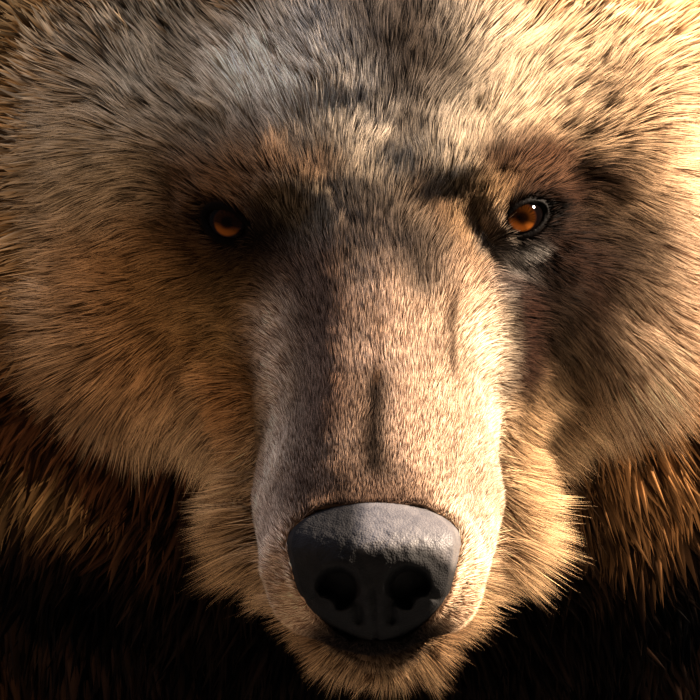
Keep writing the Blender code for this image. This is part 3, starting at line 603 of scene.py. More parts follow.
def grid_triangles(rows: int, columns: int, wrap: bool = False) -> np.ndarray:
    """List the triangles of a grid of points stored row by row.

    Args:
        rows: number of rows of points.
        columns: number of points in a row.
        wrap: whether the last column joins the first.

    Returns:
        An M x 3 array of point numbers.
    """
    across = np.arange(columns if wrap else columns - 1)
    row, column = np.meshgrid(np.arange(rows - 1), across, indexing="ij")
    a = (row * columns + column).ravel()
    b = (row * columns + (column + 1) % columns).ravel()
    return np.concatenate((np.stack((a, b, b + columns), 1), np.stack((a, b + columns, a + columns), 1)))


def point_normals(points: np.ndarray, triangles: np.ndarray) -> np.ndarray:
    """Average the area-weighted normals of the triangles around each point."""
    a, b, c = (points[triangles[:, i]] for i in range(3))
    cross = np.cross(b - a, c - a)
    total = np.stack([sum(np.bincount(triangles[:, i], cross[:, axis], len(points)) for i in range(3))
                      for axis in range(3)], axis=1)
    return unit(total)


def relaxed(values: np.ndarray, edges: np.ndarray, rounds: int, share: np.ndarray | float = 0.5
            ) -> np.ndarray:
    """Move each value towards the mean of its neighbours' values, a number of times.

    Args:
        values: one row for each point.
        edges: pairs of neighbouring points.
        rounds: how many times.
        share: how far towards the mean, for all points or for each.

    Returns:
        The smoothed values.
    """
    flat = values.reshape(len(values), -1).astype(float)
    count = np.maximum(np.bincount(edges.ravel(), minlength=len(flat)), 1)
    part = share[:, None] if isinstance(share, np.ndarray) else share
    for _ in range(rounds):
        mean = np.stack([np.bincount(edges[:, 0], column[edges[:, 1]], len(flat))
                         + np.bincount(edges[:, 1], column[edges[:, 0]], len(flat))
                         for column in flat.T], axis=1) / count[:, None]
        flat = flat + (mean - flat) * part
    return flat.reshape(values.shape)


def edges_of(triangles: np.ndarray) -> np.ndarray:
    """List each edge of a set of triangles once."""
    pairs = np.concatenate([triangles[:, ends] for ends in ((0, 1), (1, 2), (2, 0))])
    return np.unique(np.sort(pairs, axis=1), axis=0)


def soften(shell: bmesh.types.BMesh, points: Sequence[bmesh.types.BMVert], rounds: int) -> None:
    """Move some points of a mesh halfway to their neighbours' mean, a number of times."""
    for _ in range(rounds):
        bmesh.ops.smooth_vert(shell, verts=points, factor=0.5, use_axis_x=True, use_axis_y=True,
                              use_axis_z=True)


@dataclass
class EyePlace:
    """One eye's frame: centre, gaze and the plane of its opening. Millimetres of the head.

    The opening is an almond, (|a| / length)^1.8 + (|b| / height)^2 = 1 at a along and b across it.
    Bare skin reaches round it by about the socket.
    """

    head: HeadFrame
    side: Side
    ball: float = 11.5
    slant: float = math.radians(22)
    half_length: float = 9.2
    upper: float = 6.1
    lower: float = 5.6
    socket: float = 3.0
    lid: float = 1.8
    hill: float = 12.5

    # Of the left eye: the ball's gaze, and where the opening faces. The other eye mirrors both.
    GAZE = (0.16, -0.86, 0.44)
    FACING = (0.32, -0.88, 0.35)

    def __post_init__(self) -> None:
        """Set where the ball looks, where the opening faces, and the axes along and across it."""
        self.solid = f"eye_{self.side.name.lower()}"
        low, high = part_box(self.solid)
        self.centre = self.head.local(np.array((low + high) / 2)[None])[0]
        sign = self.side.value
        self.gaze, self.facing = (unit(np.array(way) * (sign, 1, 1)) for way in (self.GAZE, self.FACING))
        outward = unit(np.array((sign, 0.0, 0.0)) - self.facing * self.facing[0] * sign)
        upward = np.cross(outward, self.facing) * sign
        upward = upward if upward[2] > 0 else -upward
        self.along = outward * math.cos(self.slant) + upward * math.sin(self.slant)
        self.across = upward * math.cos(self.slant) - outward * math.sin(self.slant)

    def flat(self, points: np.ndarray) -> tuple[np.ndarray, np.ndarray, np.ndarray]:
        """Give each point's place along and across the opening and its height out of it."""
        offset = points - self.centre
        return offset @ self.along, offset @ self.across, offset @ self.facing

    def clearance(self, points: np.ndarray) -> np.ndarray:
        """Distance outside the almond-shaped opening, along the ray from its middle; negative inside."""
        a, b, _ = self.flat(points)
        rise = np.where(b > 0, self.upper, self.lower)
        size = (np.abs(a / self.half_length) ** 1.8 + np.abs(b / rise) ** 2.0) ** (1 / 1.9)
        radius = np.hypot(a, b)
        return radius * (1 - 1 / np.maximum(size, 1e-3))


@dataclass
class Hide:
    """The skin: one surface under the whole coat, finest where the face shows most."""

    head: HeadFrame
    chart: CoatChart
    eyes: Sequence[EyePlace]
    voxel: float = 0.011
    passes: int = 4
    slack: float = 1.35

    # The solids that the skin stands for.
    FLESH = tuple(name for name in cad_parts
                  if "claw" not in name and not name.startswith("eye_") and name != "nose")

    # Zones of finer skin: middle and half sizes of an egg, and the edges' length in it.
    ZONES = (((0, 20, -30), (190, 200, 140), 5.6), ((0, -40, -20), (135, 110, 110), 3.2),
             ((0, -100, -75), (75, 78, 70), 1.75))
    # The same round each eye's lids, that far before the ball's centre: reach and edges' length.
    LIDS_OUT = 8
    EYE_ZONES = ((32, 1.7), (21, 0.8))

    # Millimetres of the head: paths on its left side that are mirrored, and one down its middle.
    MOUTH = ((0, -161, -116), (17, -158, -115), (28, -151, -114), (37, -135, -113), (44, -110, -110),
             (50, -80, -106))
    CREASE = ((4, -52, 2), (2, -70, -8), (-1, -90, -19), (0, -108, -27), (0, -122, -33))
    EDGE = ((36, -28, -4), (36, -48, -12), (37, -70, -26), (39, -95, -40), (40, -112, -48))
    TEAR = ((52, -13, -1), (46, -17, -5), (40, -24, -10))

    # What the skin does along those lines and round the eyes' openings, as ridges and grooves:
    # height, width and distance from the line.
    MOUTH_CUT = ((-7.0, 2.2, 0.0), (1.0, 2.5, 5.0))
    CREASE_CUT = ((-1.6, 3.2, 0.0),)
    EDGE_CUT = ((-0.9, 2.0, 0.0), (1.0, 3.0, 5.0))
    TEAR_CUT = ((-0.9, 2.4, 0.0),)
    LID_FOLDS = ((0.5, 1.1, 1.8), (-0.5, 1.6, 4.6))
    # Swellings: place, height and reach.
    SWELLS = (((45, -20, -1), 3.0, 9), ((40, -143, -102), 3.8, 14), ((0, -157, -113), 3.2, 15),
              ((0, -148, -126), 3.6, 13))

    def flesh(self) -> bpy.types.Object:
        """Join copies of all solids of flesh."""
        shell = bmesh.new()
        for name in (*self.FLESH, "nose"):
            shell.from_mesh(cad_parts[name].data)
        bmesh.ops.remove_doubles(shell, verts=shell.verts, dist=1e-6)
        mesh = bpy.data.meshes.new("flesh")
        shell.to_mesh(mesh)
        shell.free()
        piece = bpy.data.objects.new("flesh", mesh)
        bpy.context.scene.collection.objects.link(piece)
        return piece

    def wanted_edge(self, points: np.ndarray) -> np.ndarray:
        """Edge length wanted at each point: coarse on the body, finest at the eyes."""
        p = self.head.local(points)
        wanted = np.full(len(p), self.voxel / MM)
        for middle, half, size in self.ZONES:
            wanted = np.where(np.linalg.norm((p - middle) / half, axis=1) < 1.0, size, wanted)
        for eye in self.eyes:
            gap = np.linalg.norm(p - eye.centre - eye.facing * self.LIDS_OUT, axis=1)
            for reach, size in self.EYE_ZONES:
                wanted = np.where(gap < reach, np.minimum(wanted, size), wanted)
        return wanted * MM

    def refine(self, shell: bmesh.types.BMesh) -> None:
        """Split edges that are too long for their place, and soften what is new, a few times."""
        for _ in range(self.passes):
            shell.edges.index_update()
            shell.edges.ensure_lookup_table()
            ends = np.array([(*e.verts[0].co, *e.verts[1].co) for e in shell.edges])
            length = np.linalg.norm(ends[:, :3] - ends[:, 3:], axis=1)
            chosen = length > self.slack * self.wanted_edge((ends[:, :3] + ends[:, 3:]) / 2)
            picked = [shell.edges[i] for i in np.flatnonzero(chosen)]
            if not picked:
                break
            made = bmesh.ops.subdivide_edges(shell, edges=picked, cuts=1, use_grid_fill=True)
            fresh = {item for item in made["geom_inner"] if isinstance(item, bmesh.types.BMVert)}
            soften(shell, list(fresh | {v for e in picked for v in e.verts}), 3)

    def surface(self) -> tuple[np.ndarray, np.ndarray, BVHTree]:
        """Wrap the flesh in one even surface and refine it where the face needs it.

        Returns:
            Points, triangles and a search tree of the solids' own surface.
        """
        flesh = self.flesh()
        tree = BVHTree.FromObject(flesh, bpy.context.evaluated_depsgraph_get())
        wrap = flesh.modifiers.new("wrap", "REMESH")
        wrap.mode = "VOXEL"
        wrap.voxel_size = self.voxel
        wrapped = flesh.evaluated_get(bpy.context.evaluated_depsgraph_get())
        shell = bmesh.new()
        shell.from_mesh(wrapped.data)
        soften(shell, shell.verts, 6)
        self.refine(shell)
        bmesh.ops.triangulate(shell, faces=shell.faces)
        mesh = bpy.data.meshes.new("wrapped")
        shell.to_mesh(mesh)
        shell.free()
        points = np.empty(len(mesh.vertices) * 3, np.float32)
        mesh.vertices.foreach_get("co", points)
        triangles = np.empty(len(mesh.loops), np.int32)
        mesh.loops.foreach_get("vertex_index", triangles)
        bpy.data.objects.remove(flesh)
        bpy.data.meshes.remove(mesh)
        return points.reshape(-1, 3).astype(float), triangles.reshape(-1, 3), tree

    def sink(self, points: np.ndarray, triangles: np.ndarray, tree: BVHTree) -> np.ndarray:
        """Sink the surface below the solids' outline by the coat's depth.

        Args:
            points: the surface's points.
            triangles: its triangles.
            tree: a search tree of the solids' surface.

        Returns:
            The moved points.
        """
        edges = edges_of(triangles)
        gap = np.empty(len(points))
        for i, point in enumerate(points):
            place, normal, _, _ = tree.find_nearest(point)
            gap[i] = (Vector(point) - place).dot(normal)
        depth = self.chart.read(points).depth
        # Level soles keep their place: the coat thins out near the floor.
        depth = depth * smoothstep(0.004, 0.03, points[:, 2]) + 0.001
        move = relaxed(gap, edges, 16) + relaxed(depth, edges, 4)
        loose = smoothstep(0.008, 0.03, depth) * 0.5
        steps = 5
        for _ in range(steps):
            points = points - point_normals(points, triangles) * (move / steps)[:, None]
            points = relaxed(points, edges, 1, loose)
        return points

    def open_eyes(self, local: np.ndarray) -> np.ndarray:
        """Lay lids over the eyeballs and open them along an almond outline.

        A lid is a low hill round the ball, its height over the ball's centre being
        (ball + lid) / (1 + (d / hill)^2)^0.9 at distance d from the opening's middle. Within the
        opening the skin drops behind the ball, and the margin between the two is rounded. Flesh
        beside the lids that stands higher than the hill is left as it is.

        Args:
            local: the skin's points in the head's millimetres.

        Returns:
            The moved points.
        """
        for eye in self.eyes:
            a, b, height = eye.flat(local)
            radius = np.hypot(a, b)
            # Only the flesh round the ball takes part, not that of the cheek or the throat.
            near = (radius < 40) & (height > -14) & (height < 34)
            clear = eye.clearance(local)
            hill = (eye.ball + eye.lid) / (1 + (radius / eye.hill) ** 2) ** 0.9
            ball = np.sqrt(np.maximum((eye.ball + 0.6) ** 2 - np.minimum(radius, 11.4) ** 2, 0)) - 0.2
            margin = np.minimum(ball + 0.2, hill)
            hill = margin + (hill - margin) * smoothstep(0.0, 1.6, clear) + relief(clear, self.LID_FOLDS)
            inner = ball - 7.0
            aim = inner + (hill - inner) * smoothstep(-1.6, 0.0, clear)
            aim = aim + np.maximum(height - aim, 0) * smoothstep(1.5, 6.0, clear)
            weight = (1 - smoothstep(6.0, 17.0, clear)) * near
            local = local + ((aim - height) * weight)[:, None] * eye.facing
        return local

    def carve_face(self, local: np.ndarray, normals: np.ndarray) -> tuple[np.ndarray, np.ndarray]:
        """Cut the mouth line and the creases of the muzzle, raise its edges and swell the lips.

        The mouth line is kept, settled on the skin, for the coat.

        Args:
            local: the skin's points in the head's millimetres.
            normals: their outward normals in the same frame.

        Returns:
            The moved points, and how bare and dark each is from 0 to 1.
        """
        self.mouth_line = settled(self.MOUTH, local)
        mouth, edge, tear = (twin_distance(local, path) for path in (self.mouth_line, self.EDGE, self.TEAR))
        crease = path_distance(local, self.CREASE)
        fade = smoothstep(-70, -95, local[:, 1])
        move = relief(mouth, self.MOUTH_CUT) * fade + relief(tear, self.TEAR_CUT)
        move += relief(crease, self.CREASE_CUT) + relief(edge, self.EDGE_CUT)
        for centre, rise, reach in self.SWELLS:
            away = np.minimum(*(np.linalg.norm(side - centre, axis=1) for side in (local, local * MIRROR)))
            move += rise * bell(away, reach)
        local = local + normals * move[:, None]
        nose = Nose.cover(local)
        local = local - Nose.OUT * (9.0 * nose)[:, None]
        lines = np.maximum(bell(mouth, 2.6) * fade, 0.85 * bell(tear, 4.0))
        return local, np.maximum(lines, nose)

    def ease_lids(self, local: np.ndarray, triangles: np.ndarray) -> np.ndarray:
        """Smooth the skin in a ring round each eye, where the lids run out into the face."""
        edges = edges_of(triangles)
        for eye in self.eyes:
            clear = eye.clearance(local)
            share = 0.5 * smoothstep(1.8, 4.0, clear) * (1 - smoothstep(18, 26, clear))
            share = share * (np.linalg.norm(local - eye.centre, axis=1) < 42)
            local = relaxed(local, edges, 10, share)
        return local

    def build(self) -> tuple[bpy.types.Object, np.ndarray, np.ndarray]:
        """Build the skin.

        Returns:
            The skin object, its points and its triangles.
        """
        points, triangles, tree = self.surface()
        points = self.sink(points, triangles, tree)
        local = self.head.local(points)
        normals = point_normals(points, triangles) @ self.head.axes.T
        local, bare = self.carve_face(local, normals)
        local = self.ease_lids(self.open_eyes(local), triangles)
        points = self.head.world(local)
        piece = triangle_object("skin", points, triangles)
        shade_smooth(piece)
        reading = self.chart.read(points)
        for eye in self.eyes:
            clear = eye.clearance(local)
            close = np.linalg.norm(local - eye.centre, axis=1) < 30
            bare = np.maximum(bare, (1 - smoothstep(0.6 * eye.socket, 1.5 * eye.socket, clear)) * close)
        dark = bare[:, None]
        colour = reading.root * 0.75 + reading.tip * 0.25
        set_colours(piece, "tint", colour * (1 - dark) + np.array(linear("0b0706")) * dark)
        set_values(piece, "bare", bare)
        return piece, points, triangles


class Cut(Enum):
    """The shape of a tuft: a cone, or a bent leaf folded along its middle."""

    SPIKE = 0
    LEAF = 1


@dataclass
class Coat:
    """All tufts over the skin, planted at once and then parted into pieces.

    Leaders are the share of tufts that others lean to, guards the share of dark guard hairs,
    and salt the spread of brightness from hair to hair.
    """

    head: HeadFrame
    chart: CoatChart
    eyes: Sequence[EyePlace]
    lips: np.ndarray
    seed: int = 11
    leaders: float = 0.09
    guards: float = 0.3
    salt: float = 0.32

    # Noise that turns the lay: seed, wavelength in metres and angle.
    WANDER = ((21, 0.011, 0.15), (22, 0.035, 0.15), (23, 0.16, 0.12))
    # Noise that lifts the hairs, and noise that shades them: seed and wavelength in metres.
    LIFT = (24, 0.02)
    SHADES = ((31, 0.012), (32, 0.05))
    # A tuft's middle: its share of the length, and how much further it is lifted than the tip.
    MIDDLE, BEND = 0.4, 1.35
    # Metres: the legs' distance from the middle and their top, the height of the trunk's axis,
    # and where fore legs, ruff and head end towards the tail.
    LEG_X, LEG_TOP, TRUNK_Z = 0.19, 0.47, 0.8
    FORE_END, RUFF_END, HEAD_END = 0.2, -0.42, -0.6
    # Millimetres of the head: the height of its long axis.
    SKULL_Z = -60
    SPIKED = ("forehead", "muzzle_left", "muzzle_right", "cheek_left", "cheek_right")

    # Millimetres of the head: where long hair stands off the lower jaw.
    FRINGE = ((47, -55, -108), (42, -80, -112), (34, -106, -117), (27, -122, -120), (20, -139, -127))

    def shares(self, corners: np.ndarray) -> np.ndarray:
        """Say how many tufts each triangle carries: none on lids, lips, nose leather and soles."""
        cross = np.cross(corners[:, 1] - corners[:, 0], corners[:, 2] - corners[:, 0])
        middle = corners.mean(axis=1)
        share = np.linalg.norm(cross, axis=1) / 2 / self.chart.read(middle).spacing ** 2
        local = self.head.local(middle)
        for eye in self.eyes:
            clear = eye.clearance(local)
            near = np.linalg.norm(local - eye.centre, axis=1) < 26
            share = np.where(near, share * smoothstep(0.4 * eye.socket, 1.3 * eye.socket, clear), share)
        share = share * (Nose.cover(local) < 0.1) * (middle[:, 2] > 0.006)
        return share * smoothstep(2.2, 4.2, twin_distance(local, self.lips))

    def plant(self, points: np.ndarray, triangles: np.ndarray) -> tuple[np.ndarray, np.ndarray]:
        """Scatter roots over the skin so that each stands for its own patch of the chart's spacing.

        Args:
            points: the skin's points.
            triangles: the skin's triangles.

        Returns:
            The roots, and the skin's normals there.
        """
        rng = np.random.default_rng(self.seed)
        corners = points[triangles]
        share = self.shares(corners)
        total = int(share.sum())
        stops = np.cumsum(share)
        draws = (np.arange(total) + rng.random(total)) / total * stops[-1]
        chosen = np.minimum(np.searchsorted(stops, draws), len(triangles) - 1)
        u, v = rng.random((2, total))
        flip = u + v > 1
        u, v = np.where(flip, 1 - u, u), np.where(flip, 1 - v, v)
        trio = corners[chosen]
        roots = trio[:, 0] + (trio[:, 1] - trio[:, 0]) * u[:, None] + (trio[:, 2] - trio[:, 0]) * v[:, None]
        round_normals = point_normals(points, triangles)[triangles[chosen]]
        normals = unit(round_normals[:, 0] * (1 - u - v)[:, None] + round_normals[:, 1] * u[:, None]
                       + round_normals[:, 2] * v[:, None])
        return roots, normals

    def grow(self, points: np.ndarray, triangles: np.ndarray) -> dict[str, np.ndarray]:
        """Give every root its tuft: direction, bend, size and colours.

        Args:
            points: the skin's points.
            triangles: the skin's triangles.

        Returns:
            Arrays of roots, middles, tips, widths and colours.
        """
        rng = np.random.default_rng(self.seed + 1)
        root, normal = self.plant(points, triangles)
        count = len(root)
        reading = self.chart.read(root)
        length = reading.length * rng.normal(1.0, 0.16, count).clip(0.6, 1.5)
        flat = self.combed(root, normal, reading, rng)
        lift = self.lifted(root, reading, rng)
        local = self.head.local(root) * np.where(root[:, :1] < 0, MIRROR, (1, 1, 1))
        fringe = bell(path_distance(local, self.FRINGE), 13)
        lift += 0.55 * fringe
        length *= 1 + 0.4 * fringe
        up = np.sin(lift)[:, None]
        along = np.cos(lift)[:, None]
        middle = root + (flat * along + normal * up * self.BEND) * (length * self.MIDDLE)[:, None]
        tip = root + (flat * along + normal * up) * length[:, None]
        size = reading.width * rng.normal(1.0, 0.18, count).clip(0.6, 1.5)
        tip = self.gather(root, tip, length, rng)
        # Nothing reaches the floor but the soles.
        tip[:, 2] = np.maximum(tip[:, 2], 0.003)
        middle[:, 2] = np.maximum(middle[:, 2], 0.004)
        low, top = self.coloured(root, length, reading, rng)
        return {"root": root, "normal": normal, "middle": middle, "tip": tip, "width": size,
                "low": low, "top": top}

    def combed(self, root: np.ndarray, normal: np.ndarray, reading: Reading,
               rng: np.random.Generator) -> np.ndarray:
        """Project the lay on the skin and turn it by smooth noise and a little by chance."""
        flat = unit(reading.lay - normal * (reading.lay * normal).sum(axis=1)[:, None])
        side = np.cross(normal, flat)
        wander = np.zeros(len(root))
        for seed, scale, angle in self.WANDER:
            wander += Ripple(seed, scale).at(root) * angle
        wander += rng.normal(0, 0.15, len(root))
        wander *= 0.45 + 0.55 * smoothstep(0.005, 0.013, reading.length)
        return flat * np.cos(wander)[:, None] + side * np.sin(wander)[:, None]

    def lifted(self, root: np.ndarray, reading: Reading, rng: np.random.Generator) -> np.ndarray:
        """Give the angle from the skin at which a tip reaches the coat's depth, lower on short hair."""
        reach = reading.depth / reading.length * (0.35 + 0.65 * smoothstep(0.005, 0.022, reading.length))
        lift = np.arcsin(np.clip(reach, 0.10, 0.75))
        noise = 1 + 0.10 * Ripple(*self.LIFT).at(root) + rng.normal(0, 0.16, len(root))
        return lift * noise.clip(0.5, 1.6)

    def coloured(self, root: np.ndarray, length: np.ndarray, reading: Reading,
                 rng: np.random.Generator) -> tuple[np.ndarray, np.ndarray]:
        """Give the colours at the roots and the tips: shaded by noise, with dark guard hairs among them."""
        shade = np.ones(len(root))
        for seed, scale in self.SHADES:
            shade = shade + 0.10 * Ripple(seed, scale).at(root)
        shade = (shade + rng.normal(0, self.salt, len(root))).clip(0.3, 1.9)[:, None]
        guard = (rng.random(len(root)) < self.guards)[:, None]
        top = np.where(guard, reading.tip * 0.12 + reading.root * 0.5, reading.tip) * shade
        low = reading.root * (0.6 - 0.2 * smoothstep(0.006, 0.014, length))[:, None] * (0.6 + 0.4 * shade)
        return low, top.clip(0, 0.95)

    def gather(self, root: np.ndarray, tip: np.ndarray, length: np.ndarray,
               rng: np.random.Generator) -> np.ndarray:
        """Draw the tips of neighbouring tufts towards those of a few leaders, in wisps."""
        leaders = np.flatnonzero(rng.random(len(root)) < self.leaders)
        tree = KDTree(len(leaders))
        for i, place in enumerate(root[leaders]):
            tree.insert(place, i)
        tree.balance()
        nearest = np.fromiter((tree.find(place)[1] for place in root), np.int64, len(root))
        leader = leaders[nearest]
        pull = tip[leader] - tip
        far = np.linalg.norm(pull, axis=1) / np.maximum(length, 1e-9)
        share = 0.45 * (1 - smoothstep(0.3, 0.9, far)) * smoothstep(0.004, 0.014, length)
        return tip + pull * share[:, None]

    def bake_places(self, root: np.ndarray, region: str) -> np.ndarray:
        """Unwrap the skin's own shape round its long axis and scale it to the whole map.

        Args:
            root: the tufts' roots.
            region: the piece's region.

        Returns:
            One place in the map for each tuft.
        """
        if region in ("fore_legs", "hind_legs"):
            turn = np.arctan2(np.abs(root[:, 0]) - self.LEG_X, root[:, 1] - root[:, 1].mean())
            turn = turn / (2 * math.pi) + 0.5
            turn = (turn + (root[:, 0] > 0)) / 2
            run = root[:, 2]
        elif region.startswith("trunk") or region == "ruff":
            turn = np.arctan2(root[:, 0], root[:, 2] - self.TRUNK_Z)
            run = root[:, 1]
        else:
            local = self.head.local(root)
            turn = np.arctan2(local[:, 0], local[:, 2] - self.SKULL_Z)
            run = local[:, 1]
        place = np.stack((turn, run), axis=1)
        low, high = place.min(axis=0), place.max(axis=0)
        return BAKE_PATCH + (place - low) / (high - low) * (1 - 2 * BAKE_PATCH)

    def region_of(self, root: np.ndarray) -> np.ndarray:
        """Name the piece of coat that each root belongs to."""
        x, y, z = self.head.local(root).T
        legs = root[:, 2] < self.LEG_TOP
        fore = root[:, 1] < self.FORE_END
        on_head = (y < 165) & (z > -215 + 0.55 * y.clip(0)) & (root[:, 1] < self.HEAD_END)
        back = on_head & ((y > 62) | (z < -135))
        face = on_head & ~back
        muzzle = face & (y < -42) & (np.abs(x) < 62)
        above = face & ~muzzle & (z > 14 - 0.05 * np.abs(x))
        name = np.where(root[:, 0] < 0, "trunk_right", "trunk_left").astype(object)
        for region, inside in (("fore_legs", legs & fore), ("hind_legs", legs & ~fore),
                               ("ruff", (root[:, 1] < self.RUFF_END) & ~legs), ("head_back", back),
                               ("cheek_left", face & (x >= 0)), ("cheek_right", face & (x < 0)),
                               ("muzzle_left", muzzle & (x >= 0)), ("muzzle_right", muzzle & (x < 0)),
                               ("forehead", above)):
            name[inside] = region
        return name

    def piece(self, region: str, grown: dict[str, np.ndarray], chosen: np.ndarray, cut: Cut
              ) -> bpy.types.Object:
        """Make one piece of coat.

        A spike is a three-sided cone. A leaf is two triangles over two others, widest at two
        fifths of its length, where it is also thickest. Both are closed.

        Args:
            region: the piece's region.
            grown: the tufts of the whole coat.
            chosen: the numbers of those of this piece.
            cut: the shape of its tufts.

        Returns:
            The object, with its colours and its map.
        """
        part = {key: value[chosen] for key, value in grown.items()}
        axis = unit(part["tip"] - part["root"])
        side = unit(np.cross(axis, part["normal"]))
        over = np.cross(side, axis)
        width = part["width"][:, None]
        half = width * 0.58
        base = part["root"] - part["normal"] * width * 0.5
        if cut is Cut.SPIKE:
            layers = [base + side * half, base - side * half, base + over * half * 0.9, part["tip"]]
            faces = np.array(((0, 3, 1), (1, 3, 2), (2, 3, 0), (0, 1, 2)))
            spots = ((-0.5, -0.4), (0.5, -0.4), (0, 0.5), (0, -0.1))
            hidden = [(-0.5, -0.4), (-0.5, -0.39), (-0.49, -0.4)]
            flat = [spots[i] for face in faces[:3] for i in face] + hidden
            tones = [0, 0, 0, 1]
        else:
            layers = [base, part["middle"] + side * half, part["middle"] - side * half, part["tip"]]
            faces = np.array(((0, 1, 2), (3, 2, 1), (0, 2, 3), (0, 3, 1)))
            spots = ((0, -0.5), (-0.5, 0), (0.5, 0), (0, 0.5))
            flat = [spots[i] for face in faces for i in face]
            tones = [0, self.MIDDLE, self.MIDDLE, 1]
        corners = np.stack(layers, axis=1)
        starts = np.arange(len(chosen)) * len(layers)
        triangles = (faces[None] + starts[:, None, None]).reshape(-1, 3)
        piece = triangle_object(f"coat_{region}", corners.reshape(-1, 3), triangles)
        tone = np.array(tones)[None, :, None]
        colours = part["low"][:, None, :] * (1 - tone) + part["top"][:, None, :] * tone
        set_colours(piece, "tint", colours.reshape(-1, 3))
        uv = self.bake_places(part["root"], region)[:, None, :] + np.array(flat)[None] * BAKE_PATCH
        layer = piece.data.uv_layers.new(name=BAKE_MAP)
        layer.data.foreach_set("uv", uv.astype(np.float32).ravel())
        shade_smooth(piece)
        return piece

    def build(self, points: np.ndarray, triangles: np.ndarray, material: bpy.types.Material) -> None:
        """Grow the coat and make its pieces."""
        grown = self.grow(points, triangles)
        regions = self.region_of(grown["root"])
        for region in sorted(set(regions)):
            cut = Cut.SPIKE if region in self.SPIKED else Cut.LEAF
            piece = self.piece(region, grown, np.flatnonzero(regions == region), cut)
            finish_piece(piece, material)


@dataclass(frozen=True)
class HairFinish:
    """Keratin hair, dry and nearly matt."""

    roughness: float = 0.6
    specular: float = 0.03

    def material(self) -> bpy.types.Material:
        """Make the coat's material, its colour being that of each tuft."""
        material, tree = new_material("bear_hair_keratin")
        tint = add(tree, "Attribute", {"attribute_name": "tint"})
        principled(tree, {
            "Base Color": tint.outputs["Color"], "Roughness": self.roughness,
            "Specular IOR Level": self.specular})
        return material


@dataclass(frozen=True)
class SkinFinish:
    """Haired skin: velvety under-fur, and smoother bare skin at the lids and lips."""

    hair_mm: float = 0.5
    specular: float = 0.06

    def material(self) -> bpy.types.Material:
        """Make the skin's material, with the nap of its under-fur as bump along the muzzle."""
        material, tree = new_material("bear_skin_with_underfur")
        tint = add(tree, "Attribute", {"attribute_name": "tint"})
        bare = add(tree, "Attribute", {"attribute_name": "bare"})
        place = add(tree, "TexCoord")
        turned = add(tree, "Mapping", inputs={"Vector": place.outputs["Object"],
                                              "Rotation": (-HEAD_PITCH, 0, 0), "Scale": (1, 0.12, 1)})
        nap = add(tree, "TexNoise", inputs={"Vector": turned.outputs[0], "Scale": 1 / (self.hair_mm * 2 * MM),
                                            "Detail": 2.0})
        dark = add(tree, "MixRGB", {"blend_type": "MULTIPLY"},
                   {"Fac": 0.6, "Color1": tint.outputs["Color"], "Color2": nap.outputs["Fac"]})
        bump = add(tree, "Bump", inputs={"Height": nap.outputs["Fac"], "Strength": 0.5, "Distance": 0.0006})
        rough = add(tree, "MapRange", inputs={"Value": bare.outputs["Fac"], "To Min": 0.75, "To Max": 0.6})
        principled(tree, {
            "Base Color": dark.outputs[0], "Roughness": rough.outputs[0], "Normal": bump.outputs[0],
            "Specular IOR Level": self.specular})
        return material


@dataclass(frozen=True)
class NoseFinish:
    """Nose leather: black and pebbled in front, smoother on top, where a pale grey is partly dust and partly
    painted sheen, kept off the bear's right half as painted shade.
    """

    pebble_mm: float = 0.9
    specular: float = 0.25

    def material(self) -> bpy.types.Material:
        """Make the nose's material: cobbled plates, blotched in two tones."""
        material, tree = new_material("damp_nose_leather")
        place = add(tree, "TexCoord")
        cells = add(tree, "TexVoronoi", inputs={"Vector": place.outputs["Object"],
                                                "Scale": 1 / (self.pebble_mm * MM)})
        bump = add(tree, "Bump", {"invert": True},
                   {"Height": cells.outputs["Distance"], "Strength": 0.6, "Distance": 0.0004})
        blotch = add(tree, "TexNoise", inputs={"Vector": place.outputs["Object"], "Scale": 160.0})
        fresh = add(tree, "MixRGB", inputs={"Fac": blotch.outputs["Fac"], "Color1": (*linear("0c0b0c"), 1),
                                            "Color2": (*linear("1b191a"), 1)})
        # Pale grey for the top: partly dust, partly painted sheen of the key light.
        dust_and_sheen_grey = add(tree, "MixRGB", inputs={"Fac": blotch.outputs["Fac"], "Color1": (*linear("3c3b41"), 1),
                                            "Color2": (*linear("787270"), 1)})
        dust_and_painted_sheen = add(tree, "Attribute", {"attribute_name": "dust_and_painted_sheen"})
        colour = add(tree, "MixRGB", inputs={"Fac": dust_and_painted_sheen.outputs["Fac"], "Color1": fresh.outputs[0],
                                             "Color2": dust_and_sheen_grey.outputs[0]})
        rough = add(tree, "MapRange", inputs={"Value": dust_and_painted_sheen.outputs["Fac"], "To Min": 0.78, "To Max": 0.5})
        principled(tree, {
            "Base Color": colour.outputs[0], "Roughness": rough.outputs[0], "Normal": bump.outputs[0],
            "Specular IOR Level": self.specular})
        return material


@dataclass(frozen=True)
class EyeFinish:
    """Wet cornea over an amber iris: colours are those of the ball's points, gloss is a clear coat."""

    film: float = 0.8
    gloss: float = 0.012
    refraction: float = 1.33

    def material(self) -> bpy.types.Material:
        """Make the eye's material."""
        material, tree = new_material("wet_eye")
        tint = add(tree, "Attribute", {"attribute_name": "tint"})
        principled(tree, {
            "Base Color": tint.outputs["Color"], "Roughness": 0.6, "Specular IOR Level": 0.0,
            "Coat Weight": self.film, "Coat Roughness": self.gloss, "Coat IOR": self.refraction})
        return material


